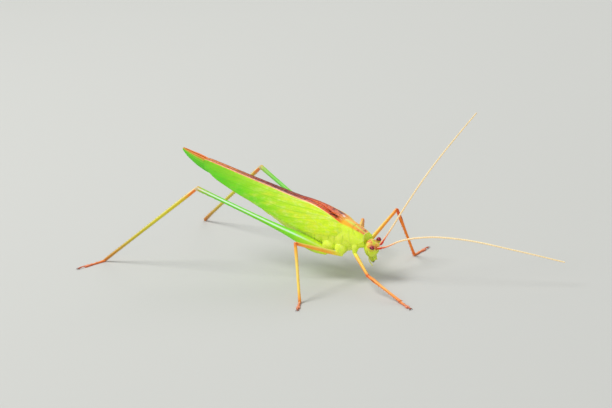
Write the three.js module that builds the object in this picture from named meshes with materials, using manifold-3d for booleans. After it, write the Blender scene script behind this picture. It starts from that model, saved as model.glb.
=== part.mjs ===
// A male long-horned grasshopper (a leaf-green bush-katydid), life-size, standing still on its six feet.
// Millimetres. +X runs toward the head, +Y to the insect's left, +Z up, and the floor is z = 0.
import * as THREE from 'three';
import { mergeVertices } from 'three/addons/utils/BufferGeometryUtils.js';
import Module from 'manifold-3d';

const wasm = await Module();
wasm.setup();

// ---------- Driving dimensions ----------

const GAP = 0.04; // clearance between neighbouring plates
const SHEET = 0.5; // thickness of a wing
const FEELER_RADIUS = 0.25; // antennae and palps
const FEELER_SIDES = 6;
const WING_PITCH = THREE.MathUtils.degToRad(12.6); // the wing line rises toward the tail
const TEGMEN_LENGTH = 28.2;
const WING_LENGTH = 31.8; // the folded hind wings reach past the fore wings
const PRONOTUM_YAW = THREE.MathUtils.degToRad(8); // the forebody bends a little to the left
const HEAD_YAW = THREE.MathUtils.degToRad(19);
const HEAD_ROLL = THREE.MathUtils.degToRad(10);
const HEAD_PITCH = THREE.MathUtils.degToRad(22);
const FOOT_HEIGHT = 0.24; // centre line of a foot above the floor
const FOOTPRINT_CENTRE = new THREE.Vector3(-5.88, 0.33, 0); // middle of the whole insect's outline

const WING_BASE = point(0.55, 0, 8.93);
const HEAD_CENTRE = point(3.95, 0.3, 4.68);

// Joint positions of each leg: hip, knee, heel and toe.
const LEGS = {
  fore_right: { hip: point(1.9, -1.2, 4.2), knee: point(6.7, -4.0, 2.3), heel: point(13.9, -5.9, 0),
    toe: point(16.8, -7.3, 0) },
  fore_left: { hip: point(2.2, 1.5, 4.6), knee: point(3.7, 6.6, 8.0), heel: point(2.9, 9.7, 0),
    toe: point(2.55, 13.2, 0) },
  mid_right: { hip: point(-0.6, -1.7, 3.7), knee: point(-2.5, -7.6, 7.0), heel: point(0.3, -11.1, 0),
    toe: point(2.2, -13.6, 0) },
  mid_left: { hip: point(-0.9, 1.8, 3.9), knee: point(-4.5, 8.1, 5.1), heel: point(-9.3, 12.4, 0),
    toe: point(-11.7, 14.0, 0) },
  hind_right: { hip: point(-2.3, -1.9, 4.0), knee: point(-23.1, -5.2, 12.0), heel: point(-41.2, -9.1, 0),
    toe: point(-42.6, -13.4, 0) },
  hind_left: { hip: point(-2.5, 2.1, 4.2), knee: point(-22.1, 6.8, 11.6), heel: point(-40.1, 10.6, 0),
    toe: point(-42.3, 14.3, 0) },
};

// Radii along each leg part, hip end first, and how much deeper than wide the part is.
const LEG_PROFILES = {
  fore: { femur: [0.34, 0.34, 0.3, 0.26, 0.27], tibia: [0.27, 0.38, 0.27, 0.25, 0.25, 0.25], depth: 1.1 },
  mid: { femur: [0.34, 0.36, 0.31, 0.27, 0.27], tibia: [0.27, 0.27, 0.25, 0.25, 0.25], depth: 1.1 },
  hind: {
    femur: [0.42, 0.56, 0.6, 0.55, 0.46, 0.39, 0.33, 0.29, 0.26, 0.25, 0.25, 0.3],
    tibia: [0.27, 0.27, 0.26, 0.25, 0.25, 0.25],
    depth: 1.2,
  },
};

// Where each coxa leaves the body, and its radius there.
const COXAE = {
  fore: { root: (side) => point(2.3, side * 0.7, 5.4), radii: [0.75, 0.68, 0.4] },
  mid: { root: (side) => point(-0.2, side * 1.0, 5.0), radii: [0.9, 0.75, 0.4] },
  hind: { root: (side) => point(-2.2, side * 1.1, 5.3), radii: [1.1, 0.95, 0.5] },
};

const COLOURS = {
  green: { color: 0x8fd426, roughness: 0.45 },
  wing: { color: 0x7ccf2b, roughness: 0.4 },
  yellowGreen: { color: 0xc4e03a, roughness: 0.45 },
  orange: { color: 0xf29a2e, roughness: 0.4 },
  feeler: { color: 0xf0b878, roughness: 0.5 },
  red: { color: 0xc8452a, roughness: 0.45 },
  eye: { color: 0x7a1420, roughness: 0.15 },
  hindwing: { color: 0xb5c94a, roughness: 0.4 },
};

function point(x, y, z) {
  return new THREE.Vector3(x, y, z);
}

// A smooth curve of one or more sizes through stations [place, size, size, ...].
function sizes(stations) {
  const places = stations.map((station) => station[0]);
  const values = stations.flatMap((station) => station.slice(1));
  const curve = new THREE.CubicInterpolant(places, values, stations[0].length - 1);
  return (place) => Array.from(curve.evaluate(THREE.MathUtils.clamp(place, places[0], places.at(-1))));
}

// ---------- Solids from geometry, joined and cut ----------

function solid(geometry) {
  const bare = geometry.clone();
  bare.deleteAttribute('normal');
  bare.deleteAttribute('uv');
  const merged = mergeVertices(bare, 1e-5);
  const corners = merged.index.array;
  const triangles = [];
  for (let i = 0; i < corners.length; i += 3) {
    const [a, b, c] = [corners[i], corners[i + 1], corners[i + 2]];
    if (a !== b && b !== c && a !== c) {
      triangles.push(a, b, c);
    }
  }
  return new wasm.Manifold(new wasm.Mesh({
    numProp: 3,
    vertProperties: new Float32Array(merged.attributes.position.array),
    triVerts: new Uint32Array(triangles),
  }));
}

function surface(manifold) {
  const mesh = manifold.getMesh();
  const geometry = new THREE.BufferGeometry();
  geometry.setAttribute('position', new THREE.BufferAttribute(new Float32Array(mesh.vertProperties), 3));
  geometry.setIndex(new THREE.BufferAttribute(new Uint32Array(mesh.triVerts), 1));
  geometry.computeVertexNormals();
  return geometry;
}

// The largest piece of a geometry that is left when the cutters are taken away.
function carve(geometry, ...cutters) {
  const rest = cutters.reduce((kept, cutter) => kept.subtract(solid(cutter)), solid(geometry));
  const pieces = rest.decompose();
  return surface(pieces.reduce((a, b) => (a.volume() > b.volume() ? a : b)));
}

// ---------- Shapes ----------

// A rounded body lofted along X through stations [x, z, half width, half height], nose first.
// square above 2 flattens the cross-section, blunt above 2 flattens the ends, narrow draws the back in,
// and lean slants the cross-sections by that many millimetres of X for each millimetre of height.
function moulded(stations, { rows, sides, square = 2, blunt = 2, narrow = 0, lean = 0, grow = 0 }) {
  const geometry = new THREE.SphereGeometry(1, sides, rows);
  const at = sizes(stations.map((station, index) => [index / (stations.length - 1), ...station]));
  const place = geometry.attributes.position;
  const rounded = (value) => Math.sign(value) * Math.abs(value) ** (2 / square);
  for (let i = 0; i < place.count; i += 1) {
    const along = place.getY(i);
    const ring = Math.hypot(place.getX(i), place.getZ(i)) || 1;
    const end = Math.max(0, 1 - Math.abs(along) ** blunt) ** (1 / blunt);
    const [x, z, halfWidth, halfHeight] = at((1 - along) / 2);
    const up = rounded(place.getX(i) / ring);
    const across = rounded(place.getZ(i) / ring) * (1 - narrow * (up + 1) / 2);
    const rise = up * (halfHeight + grow) * end;
    place.setXYZ(i, x + lean * rise + along * grow, across * (halfWidth + grow) * end, z + rise);
  }
  return geometry;
}

// A sheet from a grid of cells: place(along, across, layer) gives each corner, layer 0 inside and 1 outside.
function sheet(cellsAlong, cellsAcross, place) {
  const geometry = new THREE.BoxGeometry(1, 1, 1, cellsAlong, cellsAcross, 1);
  const corner = geometry.attributes.position;
  for (let i = 0; i < corner.count; i += 1) {
    const spot = place(corner.getX(i) + 0.5, corner.getY(i) + 0.5, corner.getZ(i) + 0.5);
    corner.setXYZ(i, spot.x, spot.y, spot.z);
  }
  return geometry;
}

// The same geometry on the insect's other side.
function mirrored(geometry) {
  const copy = geometry.clone();
  copy.applyMatrix4(new THREE.Matrix4().makeScale(1, -1, 1));
  const corners = copy.index.array;
  for (let i = 0; i < corners.length; i += 3) {
    [corners[i], corners[i + 1]] = [corners[i + 1], corners[i]];
  }
  return copy;
}

// A turned rod with rounded ends: radii are spaced evenly along it, and depth makes it deeper than wide.
function limb(from, to, radii, { sides = 7, depth = 1 } = {}) {
  const length = from.distanceTo(to);
  const capSteps = 2;
  const outline = [];
  const [first, last] = [radii[0], radii.at(-1)];
  for (let i = 0; i <= capSteps; i += 1) {
    const angle = (i / capSteps) * Math.PI / 2;
    outline.push(new THREE.Vector2(first * Math.sin(angle), first * (1 - Math.cos(angle))));
  }
  const straight = length - first - last;
  for (let i = 1; i < radii.length - 1; i += 1) {
    outline.push(new THREE.Vector2(radii[i], first + straight * i / (radii.length - 1)));
  }
  for (let i = capSteps; i >= 0; i -= 1) {
    const angle = (i / capSteps) * Math.PI / 2;
    outline.push(new THREE.Vector2(last * Math.sin(angle), length - last * (1 - Math.cos(angle))));
  }
  const geometry = new THREE.LatheGeometry(outline, sides);
  geometry.scale(1, 1, depth);
  const along = to.clone().sub(from).normalize();
  const up = point(0, 0, 1).addScaledVector(along, -along.z).normalize();
  const basis = new THREE.Matrix4().makeBasis(along.clone().cross(up), along, up);
  geometry.applyMatrix4(basis.setPosition(from));
  return geometry;
}

// How far two rods of this mean radius stay back from the joint they share, so that they only just part.
function setback(joint, before, after, radius) {
  const angle = before.clone().sub(joint).angleTo(after.clone().sub(joint));
  return (radius + GAP / 2) / Math.sin(angle / 2) - radius;
}

function toward(from, to, distance) {
  return from.clone().addScaledVector(to.clone().sub(from).normalize(), distance);
}

// A tube of the feelers' thickness along a smooth curve.
function feeler(route, steps) {
  const round = new THREE.Shape();
  const cornerRadius = FEELER_RADIUS / Math.cos(Math.PI / FEELER_SIDES);
  for (let i = 0; i < FEELER_SIDES; i += 1) {
    const angle = (i / FEELER_SIDES) * 2 * Math.PI;
    const [x, y] = [cornerRadius * Math.cos(angle), cornerRadius * Math.sin(angle)];
    if (i === 0) {
      round.moveTo(x, y);
    } else {
      round.lineTo(x, y);
    }
  }
  return new THREE.ExtrudeGeometry(round, { steps, extrudePath: route });
}

// ---------- Wings ----------

// Fore wing: distance behind its base, then height of the fold line, depth of the side, half width at
// the fold and half width at the lower edge.
const TEGMEN_SECTION = sizes([
  [0, -0.78, 1.8, 1.38, 2.15],
  [3, -0.14, 3.2, 1.08, 2.2],
  [6, 0.1, 3.8, 0.84, 2.1],
  [9, -0.06, 3.5, 0.68, 1.95],
  [14, -0.1, 3.35, 0.6, 1.6],
  [18, -0.12, 3.05, 0.58, 1.3],
  [22, -0.12, 2.55, 0.56, 1.02],
  [26, -0.12, 1.75, 0.55, 0.76],
  [TEGMEN_LENGTH, -0.2, 0.8, 0.54, 0.6],
]);
const HINDWING_FRONT = 19; // the folded fan is modelled from here to its tip
const HINDWING_SECTION = sizes([
  [HINDWING_FRONT, -0.75, 1.85],
  [24, -0.75, 1.45],
  [27, -0.65, 1.35],
  [29.5, -0.35, 1.05],
  [31, -0.15, 0.65],
  [WING_LENGTH, -0.05, 0.3],
]);
const WING_CELLS = { along: 18, across: 7 };
const FOLD = 2 / 7; // share of the wing's cells that lie on its back, between the midline and the fold
const WING_CROWN = 0.08; // the wings meet this much higher than their folds
const NARROWEST = 0.02; // least width kept between the two faces' corners

function tegmen(grow) {
  return sheet(WING_CELLS.along, WING_CELLS.across, (along, across, layer) => {
    const behind = TEGMEN_LENGTH * along;
    const [height, depth, foldWidth, edgeWidth] = TEGMEN_SECTION(behind);
    const thickness = layer ? -grow : SHEET + grow;
    const inner = GAP / 2 + NARROWEST * (1 - layer);
    const shoulder = Math.max(foldWidth - thickness, inner + NARROWEST);
    if (across < FOLD) {
      const out = THREE.MathUtils.lerp(inner, shoulder, across / FOLD);
      return point(-behind, -out, height + WING_CROWN * (1 - across / FOLD) - thickness);
    }
    const down = (across - FOLD) / (1 - FOLD);
    const out = THREE.MathUtils.lerp(foldWidth, edgeWidth, Math.sin(down * Math.PI / 2)) - thickness;
    const drop = THREE.MathUtils.lerp(thickness, depth + grow, down);
    return point(-behind, -Math.max(out, inner + NARROWEST), height - drop);
  });
}

function hindwing() {
  return sheet(10, 2, (along, across, layer) => {
    const behind = THREE.MathUtils.lerp(HINDWING_FRONT, WING_LENGTH, along);
    const [height, depth] = HINDWING_SECTION(behind);
    return point(-behind, -(GAP / 2 + SHEET * layer), height - depth * across);
  });
}

const wingPose = new THREE.Matrix4().makeRotationY(WING_PITCH).setPosition(WING_BASE);
const posedTegmen = (grow) => tegmen(grow).applyMatrix4(wingPose);

// ---------- Body ----------

// Stations [x, z, half width, half height].
const PRONOTUM = [
  [3.9, 5.7, 1.4, 0.9],
  [2.9, 5.95, 1.68, 1.15],
  [1.9, 6.22, 1.92, 1.48],
  [0.85, 6.55, 2.08, 1.82],
];
const SUBGENITAL_PLATE = [
  [-13.2, 7.5, 0.75, 0.4],
  [-14.8, 7.78, 0.65, 0.4],
  [-16.1, 8.3, 0.4, 0.3],
];
const THORAX = [
  [1.2, 5.7, 1.55, 1.7],
  [0, 6.0, 1.9, 2.1],
  [-2, 6.2, 2.05, 2.3],
  [-4, 6.5, 1.95, 2.2],
  [-5.6, 6.9, 1.7, 2.0],
];
const ABDOMEN = [
  [-5.0, 6.75, 1.6, 1.95],
  [-8, 7.35, 1.6, 1.95],
  [-11, 8.1, 1.45, 1.75],
  [-13.5, 8.75, 1.2, 1.5],
  [-15.3, 9.05, 0.8, 1.25],
];

const PRONOTUM_PIVOT = 0.5; // X of the upright axis that the pronotum is turned about

function pronotumShape(grow) {
  const geometry = moulded(PRONOTUM, {
    rows: 14, sides: 16, square: 2.7, blunt: 6, narrow: 0.3, lean: -0.26, grow,
  });
  return geometry.translate(-PRONOTUM_PIVOT, 0, 0).rotateZ(PRONOTUM_YAW).translate(PRONOTUM_PIVOT, 0, 0);
}

const thoraxShape = (grow) => moulded(THORAX, { rows: 12, sides: 14, blunt: 4, grow });
const cercusShape = (side) => (
  limb(point(-15.0, side * 0.6, 9.0), point(-17.0, side * 0.36, 9.75), [0.3, 0.28, 0.25])
);
const abdomenShape = (grow) => moulded(ABDOMEN, { rows: 13, sides: 14, blunt: 5, lean: 0.1, grow });

// ---------- Head, in its own axes: +X out of the face, +Z out of the crown ----------

const headPose = new THREE.Matrix4()
  .makeRotationFromEuler(new THREE.Euler(HEAD_ROLL, HEAD_PITCH, HEAD_YAW, 'ZYX'))
  .setPosition(HEAD_CENTRE);

function ball(centre, radii, segments) {
  const geometry = new THREE.SphereGeometry(1, segments, Math.round(segments * 0.7));
  geometry.scale(radii.x, radii.y, radii.z);
  geometry.translate(centre.x, centre.y, centre.z);
  return geometry;
}

const EYE = { centre: (side) => point(0.5, side * 1.12, 0.62), radii: point(0.42, 0.36, 0.52) };
const eyeShape = (side, grow) => ball(EYE.centre(side), EYE.radii.clone().addScalar(grow), 10);

// Cheeks and face narrow from the crown down to the mouth: height, then how far forward the middle
// lies, half the depth and half the width.
const MOUTH_HEIGHT = -1.85;
const CROWN_HEIGHT = 1.2;
const SKULL_SECTION = sizes([
  [MOUTH_HEIGHT, 0.15, 0.62, 0.72],
  [-1.1, 0.1, 0.9, 0.98],
  [-0.2, 0.02, 1.08, 1.2],
  [0.6, 0, 1.12, 1.22],
  [CROWN_HEIGHT, 0, 0.98, 1.05],
]);

function skull(grow) {
  const geometry = new THREE.SphereGeometry(1, 14, 11);
  const place = geometry.attributes.position;
  for (let i = 0; i < place.count; i += 1) {
    const height = THREE.MathUtils.lerp(MOUTH_HEIGHT, CROWN_HEIGHT, (place.getY(i) + 1) / 2);
    const [forward, halfDepth, halfWidth] = SKULL_SECTION(height);
    place.setXYZ(i, forward + (halfDepth + grow) * place.getZ(i), (halfWidth + grow) * place.getX(i),
      height + grow * place.getY(i));
  }
  return geometry;
}

// The skull with the narrow peak that stands between the antennae.
function headShape(grow) {
  const peak = limb(point(0.4, 0, 0.72), point(1.3 + grow, 0, 0.76), [0.3, 0.26, 0.2 + grow]);
  return surface(solid(skull(grow)).add(solid(peak)));
}

function mandibleShape(side) {
  const jaw = limb(point(0.42, side * 0.4, -1.5), point(0.62, side * 0.24, -2.25), [0.32, 0.3, 0.2]);
  return jaw.applyMatrix4(headPose);
}

const labrumShape = () => ball(point(0.78, 0, -1.62), point(0.2, 0.42, 0.5), 8).applyMatrix4(headPose);

function palpShape(side) {
  const palp = limb(point(0.1, side * 0.62, -1.2), point(0.8, side * 0.82, -2.6), [0.25, 0.25, 0.25]);
  return palp.applyMatrix4(headPose);
}

// ---------- Antennae: routes in an upright plane, as [reach, rise] from the socket ----------

const antennaSocket = (side) => point(1.05, side * 0.42, 0.5).applyMatrix4(headPose);
const ANTENNAE = {
  right: {
    heading: THREE.MathUtils.degToRad(17),
    route: [[0, 0], [1, 0.15], [3.5, 1.07], [8, 1.72], [12.3, 1.51], [20, 0.1], [26.9, -1.42]],
  },
  left: {
    heading: THREE.MathUtils.degToRad(45),
    route: [[0, 0], [0.54, 0.6], [1.83, 2.1], [3.35, 4.02], [8.17, 9.63], [11.9, 13.38], [15.2, 16.48]],
  },
};
const SCAPE_SHARE = 0.035; // the stout first joint's share of the whole antenna
const FLAGELLUM_LENGTHS = 3;

function antennaCurve(side, { heading, route }) {
  const stops = route.map(([reach, rise]) => antennaSocket(side).add(
    point(reach * Math.cos(heading), reach * Math.sin(heading), rise),
  ));
  return new THREE.CatmullRomCurve3(stops);
}

// Part of a curve between two shares of its length.
function stretch(curve, from, to, stops = 8) {
  const points = [];
  for (let i = 0; i <= stops; i += 1) {
    points.push(curve.getPointAt(THREE.MathUtils.lerp(from, to, i / stops)));
  }
  return new THREE.CatmullRomCurve3(points);
}

// ---------- Feet ----------

const PADS = 4; // swellings along a foot
const PAD_RADIUS = 0.27;
const PAD_SWELL = 0.05;

// A row of pads along the floor; their undersides are cut off level with it.
function foot(heel, toe, start) {
  const length = heel.distanceTo(toe) - start;
  const geometry = new THREE.SphereGeometry(1, 6, 13);
  const place = geometry.attributes.position;
  for (let i = 0; i < place.count; i += 1) {
    const along = (1 - place.getY(i)) / 2;
    const ring = Math.hypot(place.getX(i), place.getZ(i)) || 1;
    const end = (1 - Math.abs(place.getY(i)) ** 4) ** 0.25;
    const radius = (PAD_RADIUS + PAD_SWELL * Math.cos(along * PADS * 2 * Math.PI)) * end;
    const height = FOOT_HEIGHT + radius * place.getX(i) / ring;
    place.setXYZ(i, start + length * along, -radius * place.getZ(i) / ring, Math.max(0, height));
  }
  const along = toe.clone().sub(heel).normalize();
  geometry.rotateZ(Math.atan2(along.y, along.x));
  geometry.translate(heel.x, heel.y, 0);
  return geometry;
}

// ---------- Assembly ----------

const insect = new THREE.Group();
insect.position.copy(FOOTPRINT_CENTRE).negate();

const materials = Object.fromEntries(Object.entries(COLOURS).map(([name, look]) => (
  [name, new THREE.MeshStandardMaterial({ ...look, metalness: 0 })]
)));

function add(name, geometry, material) {
  const mesh = new THREE.Mesh(geometry, materials[material]);
  mesh.name = name;
  insect.add(mesh);
}

const SIDES = { right: -1, left: 1 };
const wingsGrown = [posedTegmen(GAP), mirrored(tegmen(GAP)).applyMatrix4(wingPose)];
const pronotumGrown = pronotumShape(GAP);
const thoraxGrown = thoraxShape(GAP);
const abdomenGrown = abdomenShape(GAP);

add('pronotum', pronotumShape(0), 'yellowGreen');
add('thorax', carve(thoraxShape(0), pronotumGrown, ...wingsGrown), 'yellowGreen');
add('abdomen', carve(abdomenShape(0), thoraxGrown, ...wingsGrown), 'yellowGreen');

add('tegmen_right', carve(posedTegmen(0), pronotumGrown), 'wing');
add('tegmen_left', carve(mirrored(tegmen(0)).applyMatrix4(wingPose), pronotumGrown), 'wing');
add('hindwing_right', carve(hindwing().applyMatrix4(wingPose), ...wingsGrown), 'hindwing');
add('hindwing_left', carve(mirrored(hindwing()).applyMatrix4(wingPose), ...wingsGrown), 'hindwing');

const head = headShape(0).applyMatrix4(headPose);
const headGrown = headShape(GAP).applyMatrix4(headPose);
const eyesGrown = Object.values(SIDES).map((side) => eyeShape(side, GAP).applyMatrix4(headPose));
add('head', carve(head, pronotumGrown, ...eyesGrown), 'yellowGreen');

for (const [sideName, side] of Object.entries(SIDES)) {
  add(`eye_${sideName}`, eyeShape(side, 0).applyMatrix4(headPose), 'eye');
  add(`mandible_${sideName}`, carve(mandibleShape(side), headGrown), 'red');
  add(`palp_${sideName}`, carve(palpShape(side), headGrown, mandibleShape(side)), 'orange');
  add(`cercus_${sideName}`, carve(cercusShape(side), abdomenGrown), 'yellowGreen');
}
add('labrum', carve(labrumShape(), headGrown, mandibleShape(-1), mandibleShape(1)), 'yellowGreen');
add('subgenital_plate', carve(moulded(SUBGENITAL_PLATE, { rows: 8, sides: 10, blunt: 3 }), abdomenGrown),
  'yellowGreen');

for (const [sideName, antenna] of Object.entries(ANTENNAE)) {
  const curve = antennaCurve(SIDES[sideName], antenna);
  const trim = GAP / curve.getLength();
  const scape = feeler(stretch(curve, 0, SCAPE_SHARE - trim, 2), 2);
  add(`antenna_${sideName}_scape`, carve(scape, headGrown, ...eyesGrown), 'red');
  for (let i = 0; i < FLAGELLUM_LENGTHS; i += 1) {
    const from = THREE.MathUtils.lerp(SCAPE_SHARE, 1, i / FLAGELLUM_LENGTHS);
    const to = THREE.MathUtils.lerp(SCAPE_SHARE, 1, (i + 1) / FLAGELLUM_LENGTHS) - trim;
    add(`antenna_${sideName}_length_${i + 1}`, feeler(stretch(curve, from, to), 9), 'feeler');
  }
}

for (const [legName, joints] of Object.entries(LEGS)) {
  const [pair, sideName] = legName.split('_');
  const side = SIDES[sideName];
  const profile = LEG_PROFILES[pair];
  const { hip, knee, toe } = joints;
  const heel = joints.heel.clone().setZ(FOOT_HEIGHT);
  const toeTip = toe.clone().setZ(FOOT_HEIGHT);
  const kneeBack = setback(knee, hip, heel, profile.tibia[0]);
  const heelBack = setback(heel, knee, toeTip, profile.tibia.at(-1));
  const root = COXAE[pair].root(side);
  const hipBack = setback(hip, root, knee, profile.femur[0]);
  const coxa = limb(root, toward(hip, root, hipBack), COXAE[pair].radii, { sides: 9 });
  const femur = limb(toward(hip, knee, hipBack), toward(knee, hip, kneeBack), profile.femur,
    { depth: profile.depth });
  const tibia = limb(toward(knee, heel, kneeBack), toward(heel, knee, heelBack), profile.tibia);
  add(`leg_${legName}_coxa`, carve(coxa, thoraxGrown, pronotumGrown), 'yellowGreen');
  add(`leg_${legName}_femur`, femur, pair === 'hind' ? 'green' : 'orange');
  add(`leg_${legName}_tibia`, tibia, 'orange');
  add(`leg_${legName}_tarsus`, foot(joints.heel, toe, heelBack), 'red');
}

export default insect;
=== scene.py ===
"""A male leaf-green bush-katydid, life-size, standing on its six feet with its wings folded.

Every shape is worked out in millimetres in the drawing's own axes (+X toward the head, +Y to the insect's
left, +Z up from the floor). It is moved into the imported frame, in metres, when its mesh is made.
"""

import logging
import math
from dataclasses import dataclass, field
from enum import Enum
from functools import cache

import bmesh
import bpy
import numpy as np
from mathutils import Matrix


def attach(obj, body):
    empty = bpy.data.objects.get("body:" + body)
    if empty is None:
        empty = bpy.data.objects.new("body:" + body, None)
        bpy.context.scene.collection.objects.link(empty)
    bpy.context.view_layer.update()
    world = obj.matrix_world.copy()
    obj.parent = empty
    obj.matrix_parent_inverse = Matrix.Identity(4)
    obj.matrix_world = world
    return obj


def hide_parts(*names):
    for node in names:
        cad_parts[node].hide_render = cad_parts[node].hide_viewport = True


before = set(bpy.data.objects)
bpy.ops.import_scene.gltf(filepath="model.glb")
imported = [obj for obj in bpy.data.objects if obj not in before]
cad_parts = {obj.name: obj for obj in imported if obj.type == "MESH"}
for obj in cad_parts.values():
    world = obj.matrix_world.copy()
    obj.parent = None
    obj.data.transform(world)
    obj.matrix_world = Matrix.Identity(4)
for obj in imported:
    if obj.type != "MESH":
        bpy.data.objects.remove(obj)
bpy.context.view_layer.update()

Array = np.ndarray
Triple = tuple[float, float, float]
Sizes = tuple[float, ...]
Rows = tuple[Sizes, ...]
Run = tuple[tuple[float, str], ...]
Socket = bpy.types.NodeSocket

LOG = logging.getLogger("katydid")
MILLIMETRE = 0.001
FOOTPRINT_CENTRE = np.array([-5.88, 0.33, 0.0])
UP = np.array([0.0, 0.0, 1.0])

WING_BASE = np.array([0.55, 0.0, 8.93])
WING_PITCH = math.radians(12.6)
HEAD_CENTRE = np.array([3.95, 0.3, 4.68])
HEAD_YAW, HEAD_PITCH, HEAD_ROLL = (math.radians(angle) for angle in (19.0, 22.0, 14.0))
PRONOTUM_YAW = math.radians(8.0)
PRONOTUM_PIVOT = np.array([0.5, 0.0, 0.0])


class Side(Enum):
    """A side of the insect, with the sign of its Y."""

    RIGHT = -1
    LEFT = 1

    @property
    def word(self) -> str:
        """The side as it is written in node names."""
        return self.name.lower()


class Pair(Enum):
    """A pair of legs, front to back."""

    FORE = "fore"
    MID = "mid"
    HIND = "hind"


# ---------- Numbers into curves ----------


def spline(stations: Array, at: Array) -> Array:
    """A smooth curve of sizes.

    Args:
        stations: rows of place, size, size, ...
        at: the places to read it at, of any shape.

    Returns:
        The sizes at each place, along one more axis than ``at`` has.
    """
    stations = np.asarray(stations, float)
    x, y = stations[:, 0], stations[:, 1:]
    at = np.clip(np.asarray(at, float), x[0], x[-1])
    slope = np.gradient(y, x, axis=0)
    i = np.clip(np.searchsorted(x, at, "right") - 1, 0, len(x) - 2)
    step = x[i + 1] - x[i]
    t = ((at - x[i]) / step)[..., None]
    step = step[..., None]
    return (
        (2 * t**3 - 3 * t**2 + 1) * y[i]
        + (t**3 - 2 * t**2 + t) * step * slope[i]
        + (3 * t**2 - 2 * t**3) * y[i + 1]
        + (t**3 - t**2) * step * slope[i + 1]
    )


def sizes_at(stations: Rows, at: Array) -> tuple[Array, ...]:
    """The sizes at each place, as ``spline`` gives them, in one array for each kind of size."""
    sizes = spline(stations, at)
    return tuple(sizes[..., k] for k in range(sizes.shape[-1]))


def evenly(sizes: Sizes, at: Array) -> Array:
    """A smooth curve through sizes spaced evenly from 0 to 1, read at ``at``."""
    places = np.linspace(0, 1, len(sizes))
    return spline(np.column_stack([places, sizes]), at)[..., 0]


def reach_along(path: Array) -> Array:
    """How far along a path each of its points is."""
    return np.concatenate([[0], np.cumsum(np.linalg.norm(np.diff(path, axis=0), axis=1))])


def shares(path: Array) -> Array:
    """How far along a path each of its points is, from 0 to 1, in one column."""
    return np.linspace(0, 1, len(path))[:, None]


def route(stops: Array, count: int) -> Array:
    """Points spaced evenly along a smooth line.

    Args:
        stops: the points that the line goes through.
        count: how many points to give back.

    Returns:
        The points, one a row.
    """
    stops, fine_count = np.asarray(stops, float), 400
    reach = reach_along(stops)
    fine = spline(np.column_stack([reach, stops]), np.linspace(0, reach[-1], fine_count))
    length = reach_along(fine)
    wanted = np.linspace(0, length[-1], count)
    return np.column_stack([np.interp(wanted, length, fine[:, k]) for k in range(3)])


def unit(vector: Array) -> Array:
    """The vector, or each vector along the last axis, at length 1."""
    return vector / np.linalg.norm(vector, axis=-1, keepdims=True)


def axes_along(line: Array) -> tuple[Array, Array, Array]:
    """The directions along a line, across it and upward, and across it and level."""
    across = unit(np.cross(line, UP))
    return unit(line), np.cross(across, unit(line)), across


def hill(distance: Array, width: float) -> Array:
    """A smooth hill of height 1 at distance 0."""
    return np.exp(-((distance / width) ** 2))


def plateau(distance: Array, half_width: float) -> Array:
    """A hill with a flat top and steep sides, about this wide to each side."""
    return np.exp(-((distance / half_width) ** 4))


def ramp(distance: Array, width: float) -> Array:
    """A smooth step from 0 to 1 where distance goes from below 0 to above it."""
    return 0.5 + 0.5 * np.tanh(distance / width)


def limited(*amounts: Array) -> Array:
    """Amounts added up and kept between 0 and 1."""
    return np.clip(sum(amounts), 0, 1)


def turned(axis: int, angle: float) -> Array:
    """The matrix of a right-handed turn.

    Args:
        axis: 0, 1 or 2 for a turn about X, Y or Z.
        angle: how far, in radians.

    Returns:
        The 3 by 3 matrix.
    """
    c, s = math.cos(angle), math.sin(angle)
    matrix = np.eye(3)
    a, b = (axis + 1) % 3, (axis + 2) % 3
    matrix[a, a], matrix[a, b], matrix[b, a], matrix[b, b] = c, -s, s, c
    return matrix


def grain(places: Array, per_mm: float, seed: int) -> Array:
    """Smooth random lumps, mostly between -1 and 1.

    Args:
        places: where to read them, in millimetres.
        per_mm: how many lumps to a millimetre.
        seed: picks the lumps.

    Returns:
        A value for each place.
    """
    draw = np.random.default_rng(seed)
    waves, shortest, longest = 18, 0.7, 1.4
    heading = unit(draw.normal(size=(waves, 3))) * draw.uniform(shortest, longest, (waves, 1))
    heading = heading * 2 * math.pi * per_mm
    return np.sin(places @ heading.T + draw.uniform(0, 2 * math.pi, waves)).sum(axis=-1) / (waves / 3)


def cuticle_grain(places: Array, per_mm: float, seed: int) -> Array:
    """Lumps that stand up more than they sink in, as on the insect's shell."""
    return np.clip(grain(places, per_mm, seed), -0.4, 2)


def raised(heights: dict[str, float], features: dict[str, Array]) -> Array:
    """The height that a surface's features give it together.

    Args:
        heights: how high each feature stands, in millimetres, and below 0 for one that is sunk.
        features: how much of each feature there is at each place.

    Returns:
        The height at each place.
    """
    return sum(height * features[name] for name, height in heights.items())


def cell_borders(u: Array, v: Array, seed: int) -> Array:
    """How close each place is to the border between irregular cells about 1 across.

    Args:
        u: the places' first coordinate.
        v: their second coordinate.
        seed: picks the cells.

    Returns:
        The distance to the nearest border, 0 on it.
    """

    def scatter(i: Array, j: Array, salt: float) -> Array:
        """A scattered number from 0 to 1 for each cell."""
        wave = np.sin(i * 127.1 + j * 311.7 + seed * 17.3 + salt) * 43758.5453
        return wave - np.floor(wave)

    farthest, stray = 9.0, 0.75
    near, next_near = np.full(u.shape, farthest), np.full(u.shape, farthest)
    for di in (-1, 0, 1):
        for dj in (-1, 0, 1):
            i, j = np.floor(u) + di, np.floor(v) + dj
            du = i + 0.5 + stray * (scatter(i, j, 0.0) - 0.5) - u
            dv = j + 0.5 + stray * (scatter(i, j, 4.7) - 0.5) - v
            distance = np.hypot(du, dv)
            next_near = np.minimum(next_near, np.maximum(near, distance))
            near = np.minimum(near, distance)
    return (next_near - near) / 2


# ---------- Meshes ----------


def stacked(*parts: Array) -> Array:
    """X, Y and Z brought to one shape and put together as places."""
    return np.stack(np.broadcast_arrays(*parts), axis=-1)


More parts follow.
